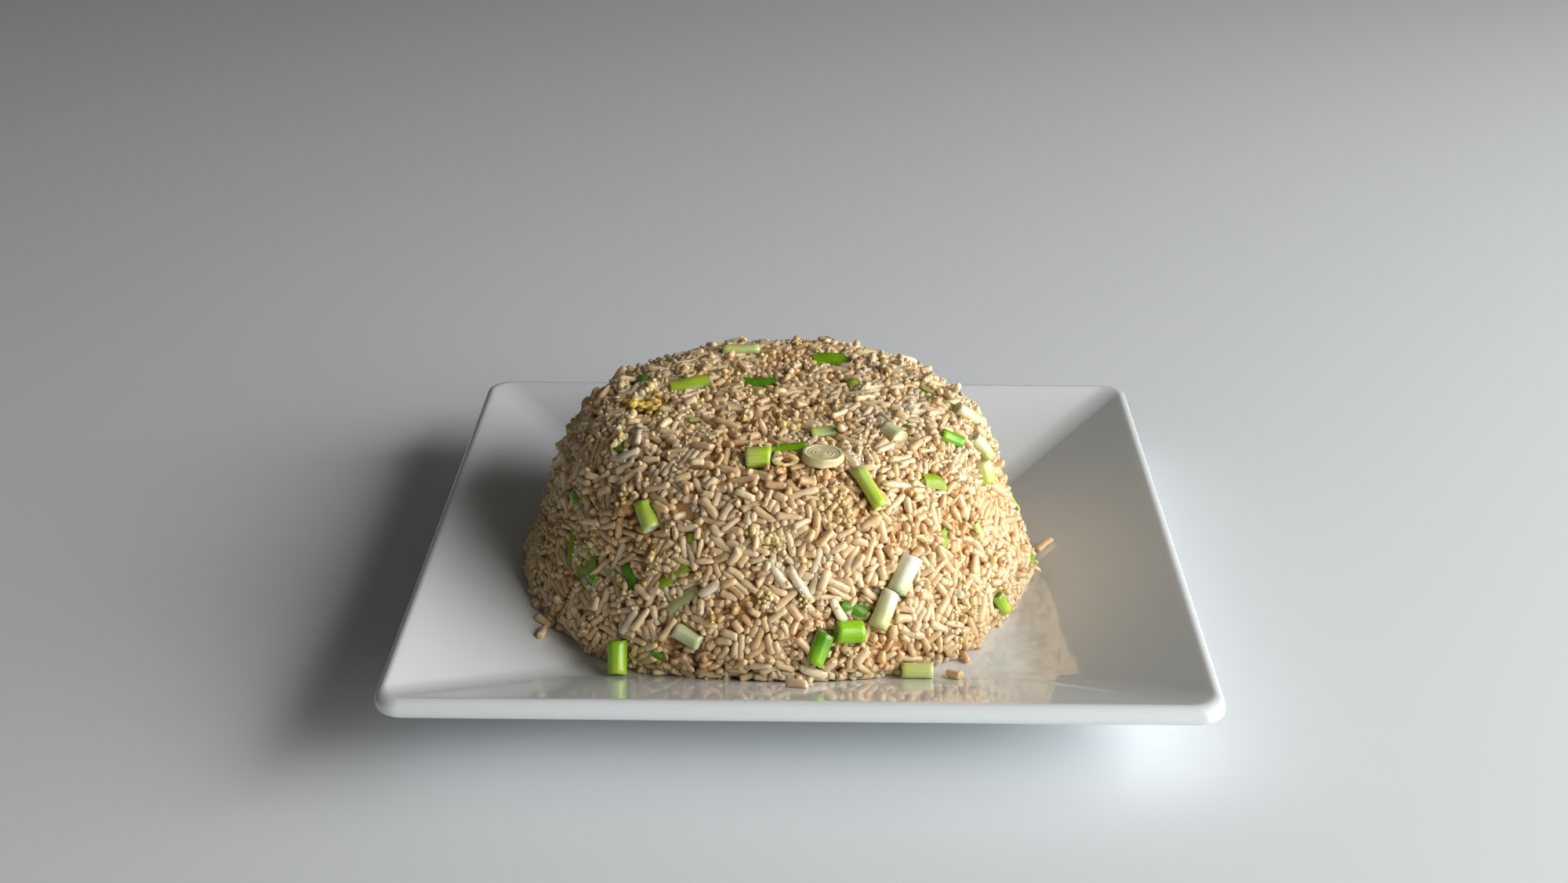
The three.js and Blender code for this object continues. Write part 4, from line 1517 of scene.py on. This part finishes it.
# %% [markdown]
# ## Loose grains on the plate
#
# Grains that fell away lie round the foot of the heap and a few farther out. A grain on the
# plate rests on the floor or on the slope, so its middle is lifted by half its thickness
# along the face under it, and it is turned to lie in that face.

# %% Find the foot of the heap and lay the grains
def plate_up(x, y):
    """The upward direction of the eating face over each point."""
    tilt = np.zeros((len(x), 3))
    tilt[:, 2] = 1
    on_slope = np.maximum(np.abs(x), np.abs(y)) > WELL_HALF
    side_x = np.abs(x) >= np.abs(y)
    tilt[on_slope & side_x, 0] = -SLOPE * np.sign(x[on_slope & side_x])
    tilt[on_slope & ~side_x, 1] = -SLOPE * np.sign(y[on_slope & ~side_x])
    return unit(tilt)


def foot_radius(bearings):
    """How far the heap's foot reaches from its middle in each direction, in mm."""
    reach = np.full(len(bearings), 70.0)
    out = np.stack([np.sin(bearings), -np.cos(bearings), np.zeros(len(bearings))], 1)
    for _ in range(80):
        spots = FOOT_MIDDLE + out * reach[:, None]
        spots[:, 2] = plate_height(spots[:, 0], spots[:, 1]) + 2.2
        reach += np.where(sample(field, spots) < 0, 0.5, 0)
    return reach


def lay_grains(name, bearings, beyond, low, high, lift=0.0):
    """Grains at these bearings, each so many mm beyond the foot and between low and high long."""
    reach = foot_radius(bearings) + beyond
    x = FOOT_MIDDLE[0] + reach * np.sin(bearings)
    y = -reach * np.cos(bearings)
    count = len(x)
    long = rng.uniform(low, high, count)
    thick = rng.uniform(2.5, 3.1, count)
    up = plate_up(x, y)
    spots = np.stack([x, y, plate_height(x, y)], 1) + up * (thick[:, None] / 2 + 0.05 + lift)
    aim = unit(square_to(rng.normal(size=(count, 3)), up))
    aim = unit(aim + up * rng.uniform(0, 0.5, (count, 1)) * (lift > 0))
    templates, length, width = grain_templates("long")
    stretch = np.stack([thick / width, thick / width, long / length], 1)
    which = rng.integers(0, GRAIN_SHAPES, count)
    mesh = joined(name, templates, which, spots, random_frames(aim, count), stretch, patchy_tones(spots))
    keep(name, mesh, rice_skin, ["rice_heap"])


print("the foot reaches", foot_radius(np.zeros(1)).round(1), "mm to the front")

# %% The skirt of loose grains, and those that fell farther
SKIRT = 330
FALLEN = 9
around = rng.uniform(-math.pi, math.pi, SKIRT)
lay_grains("rice_skirt_grains", around, rng.normal(-2.6, 1.1, SKIRT), 4.5, 9.5, 0.2)
draw = np.random.default_rng(41)
around = draw.uniform(-math.pi, math.pi, FALLEN)
lay_grains("rice_fallen_grains", around, draw.uniform(3, 12, FALLEN), 6.5, 9.5)
print("loose grains laid")

# %% [markdown]
# ## Stage, light and camera
#
# A plain pale table under a soft, low light from the right, as from a large window, shows the
# grain of the food: every grain then has a lit and a shaded side. A weak fill keeps the shaded
# left readable.

# %% Table top and backdrop
def floor_material():
    made, _, shader = new_material("pale_table", roughness=0.55)
    shader.inputs["Base Color"].default_value = colour(236, 241, 245)
    return made


def make_floor():
    bm = bmesh.new()
    bmesh.ops.create_grid(bm, x_segments=1, y_segments=1, size=6)
    mesh = mesh_from(bm, "table_top")
    floor = bpy.data.objects.new("table_top", mesh)
    floor.location.z = plate_low.z - 0.0003
    bpy.context.scene.collection.objects.link(floor)
    mesh.materials.append(floor_material())
    floor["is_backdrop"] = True


make_floor()
world = bpy.data.worlds.new("studio")
world.use_nodes = True
world.node_tree.nodes["Background"].inputs["Color"].default_value = (1.0, 0.95, 0.87, 1)
world.node_tree.nodes["Background"].inputs["Strength"].default_value = 0.05
bpy.context.scene.world = world
print("table and world ready")

# %% Soft lights
def soft_light(name, place, aim, size, power, tint):
    lamp = bpy.data.lights.new(name, "AREA")
    lamp.shape = "RECTANGLE"
    lamp.size, lamp.size_y = size
    lamp.energy = power
    lamp.color = tint
    made = bpy.data.objects.new(name, lamp)
    made.location = place
    made.rotation_euler = (Vector(aim) - Vector(place)).to_track_quat("-Z", "Y").to_euler()
    bpy.context.scene.collection.objects.link(made)
    made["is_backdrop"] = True


soft_light("window", (1.30, -0.42, 0.37), (0, 0, 0.04), (2.0, 1.5), 58, (1.0, 0.985, 0.965))
soft_light("fill", (-0.1, -1.5, 0.9), (0, 0, 0.04), (1.6, 1.0), 0.5, (1.0, 0.97, 0.92))
print("lights ready")

# %% Camera
camera_data = bpy.data.cameras.new("camera")
camera_data.lens = 50
camera_data.sensor_width = 36
camera_data.clip_start = 0.01
camera = bpy.data.objects.new("camera", camera_data)
camera.location = (0.0061, -0.683, 0.3293 + RIM_Z * MM)
camera.rotation_euler = (math.radians(90 - 23.7), 0, math.radians(1.06))
bpy.context.scene.collection.objects.link(camera)
bpy.context.scene.camera = camera
bpy.context.scene.view_settings.view_transform = "Standard"
print("camera at", [round(v, 3) for v in camera.location])

# %% [markdown]
# ## Finish
#
# The last cell prints the triangle counts of the scattered pieces and the box of everything
# made here, and hands the scene over.

# %% Sizes, then done
small_things = [o for o in bpy.context.scene.objects
                if o.type == "MESH" and o.name.startswith(("rice", "egg", "brown"))]
counts = {o.name: sum(len(p.vertices) - 2 for p in o.data.polygons) for o in small_things}
print("triangles:", {k: v for k, v in counts.items() if v > 20000}, "in all", sum(counts.values()))
low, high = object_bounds()
print("visual box", [round(v, 4) for v in (*low, *high)], "after", round(time.time() - started, 1), "s")
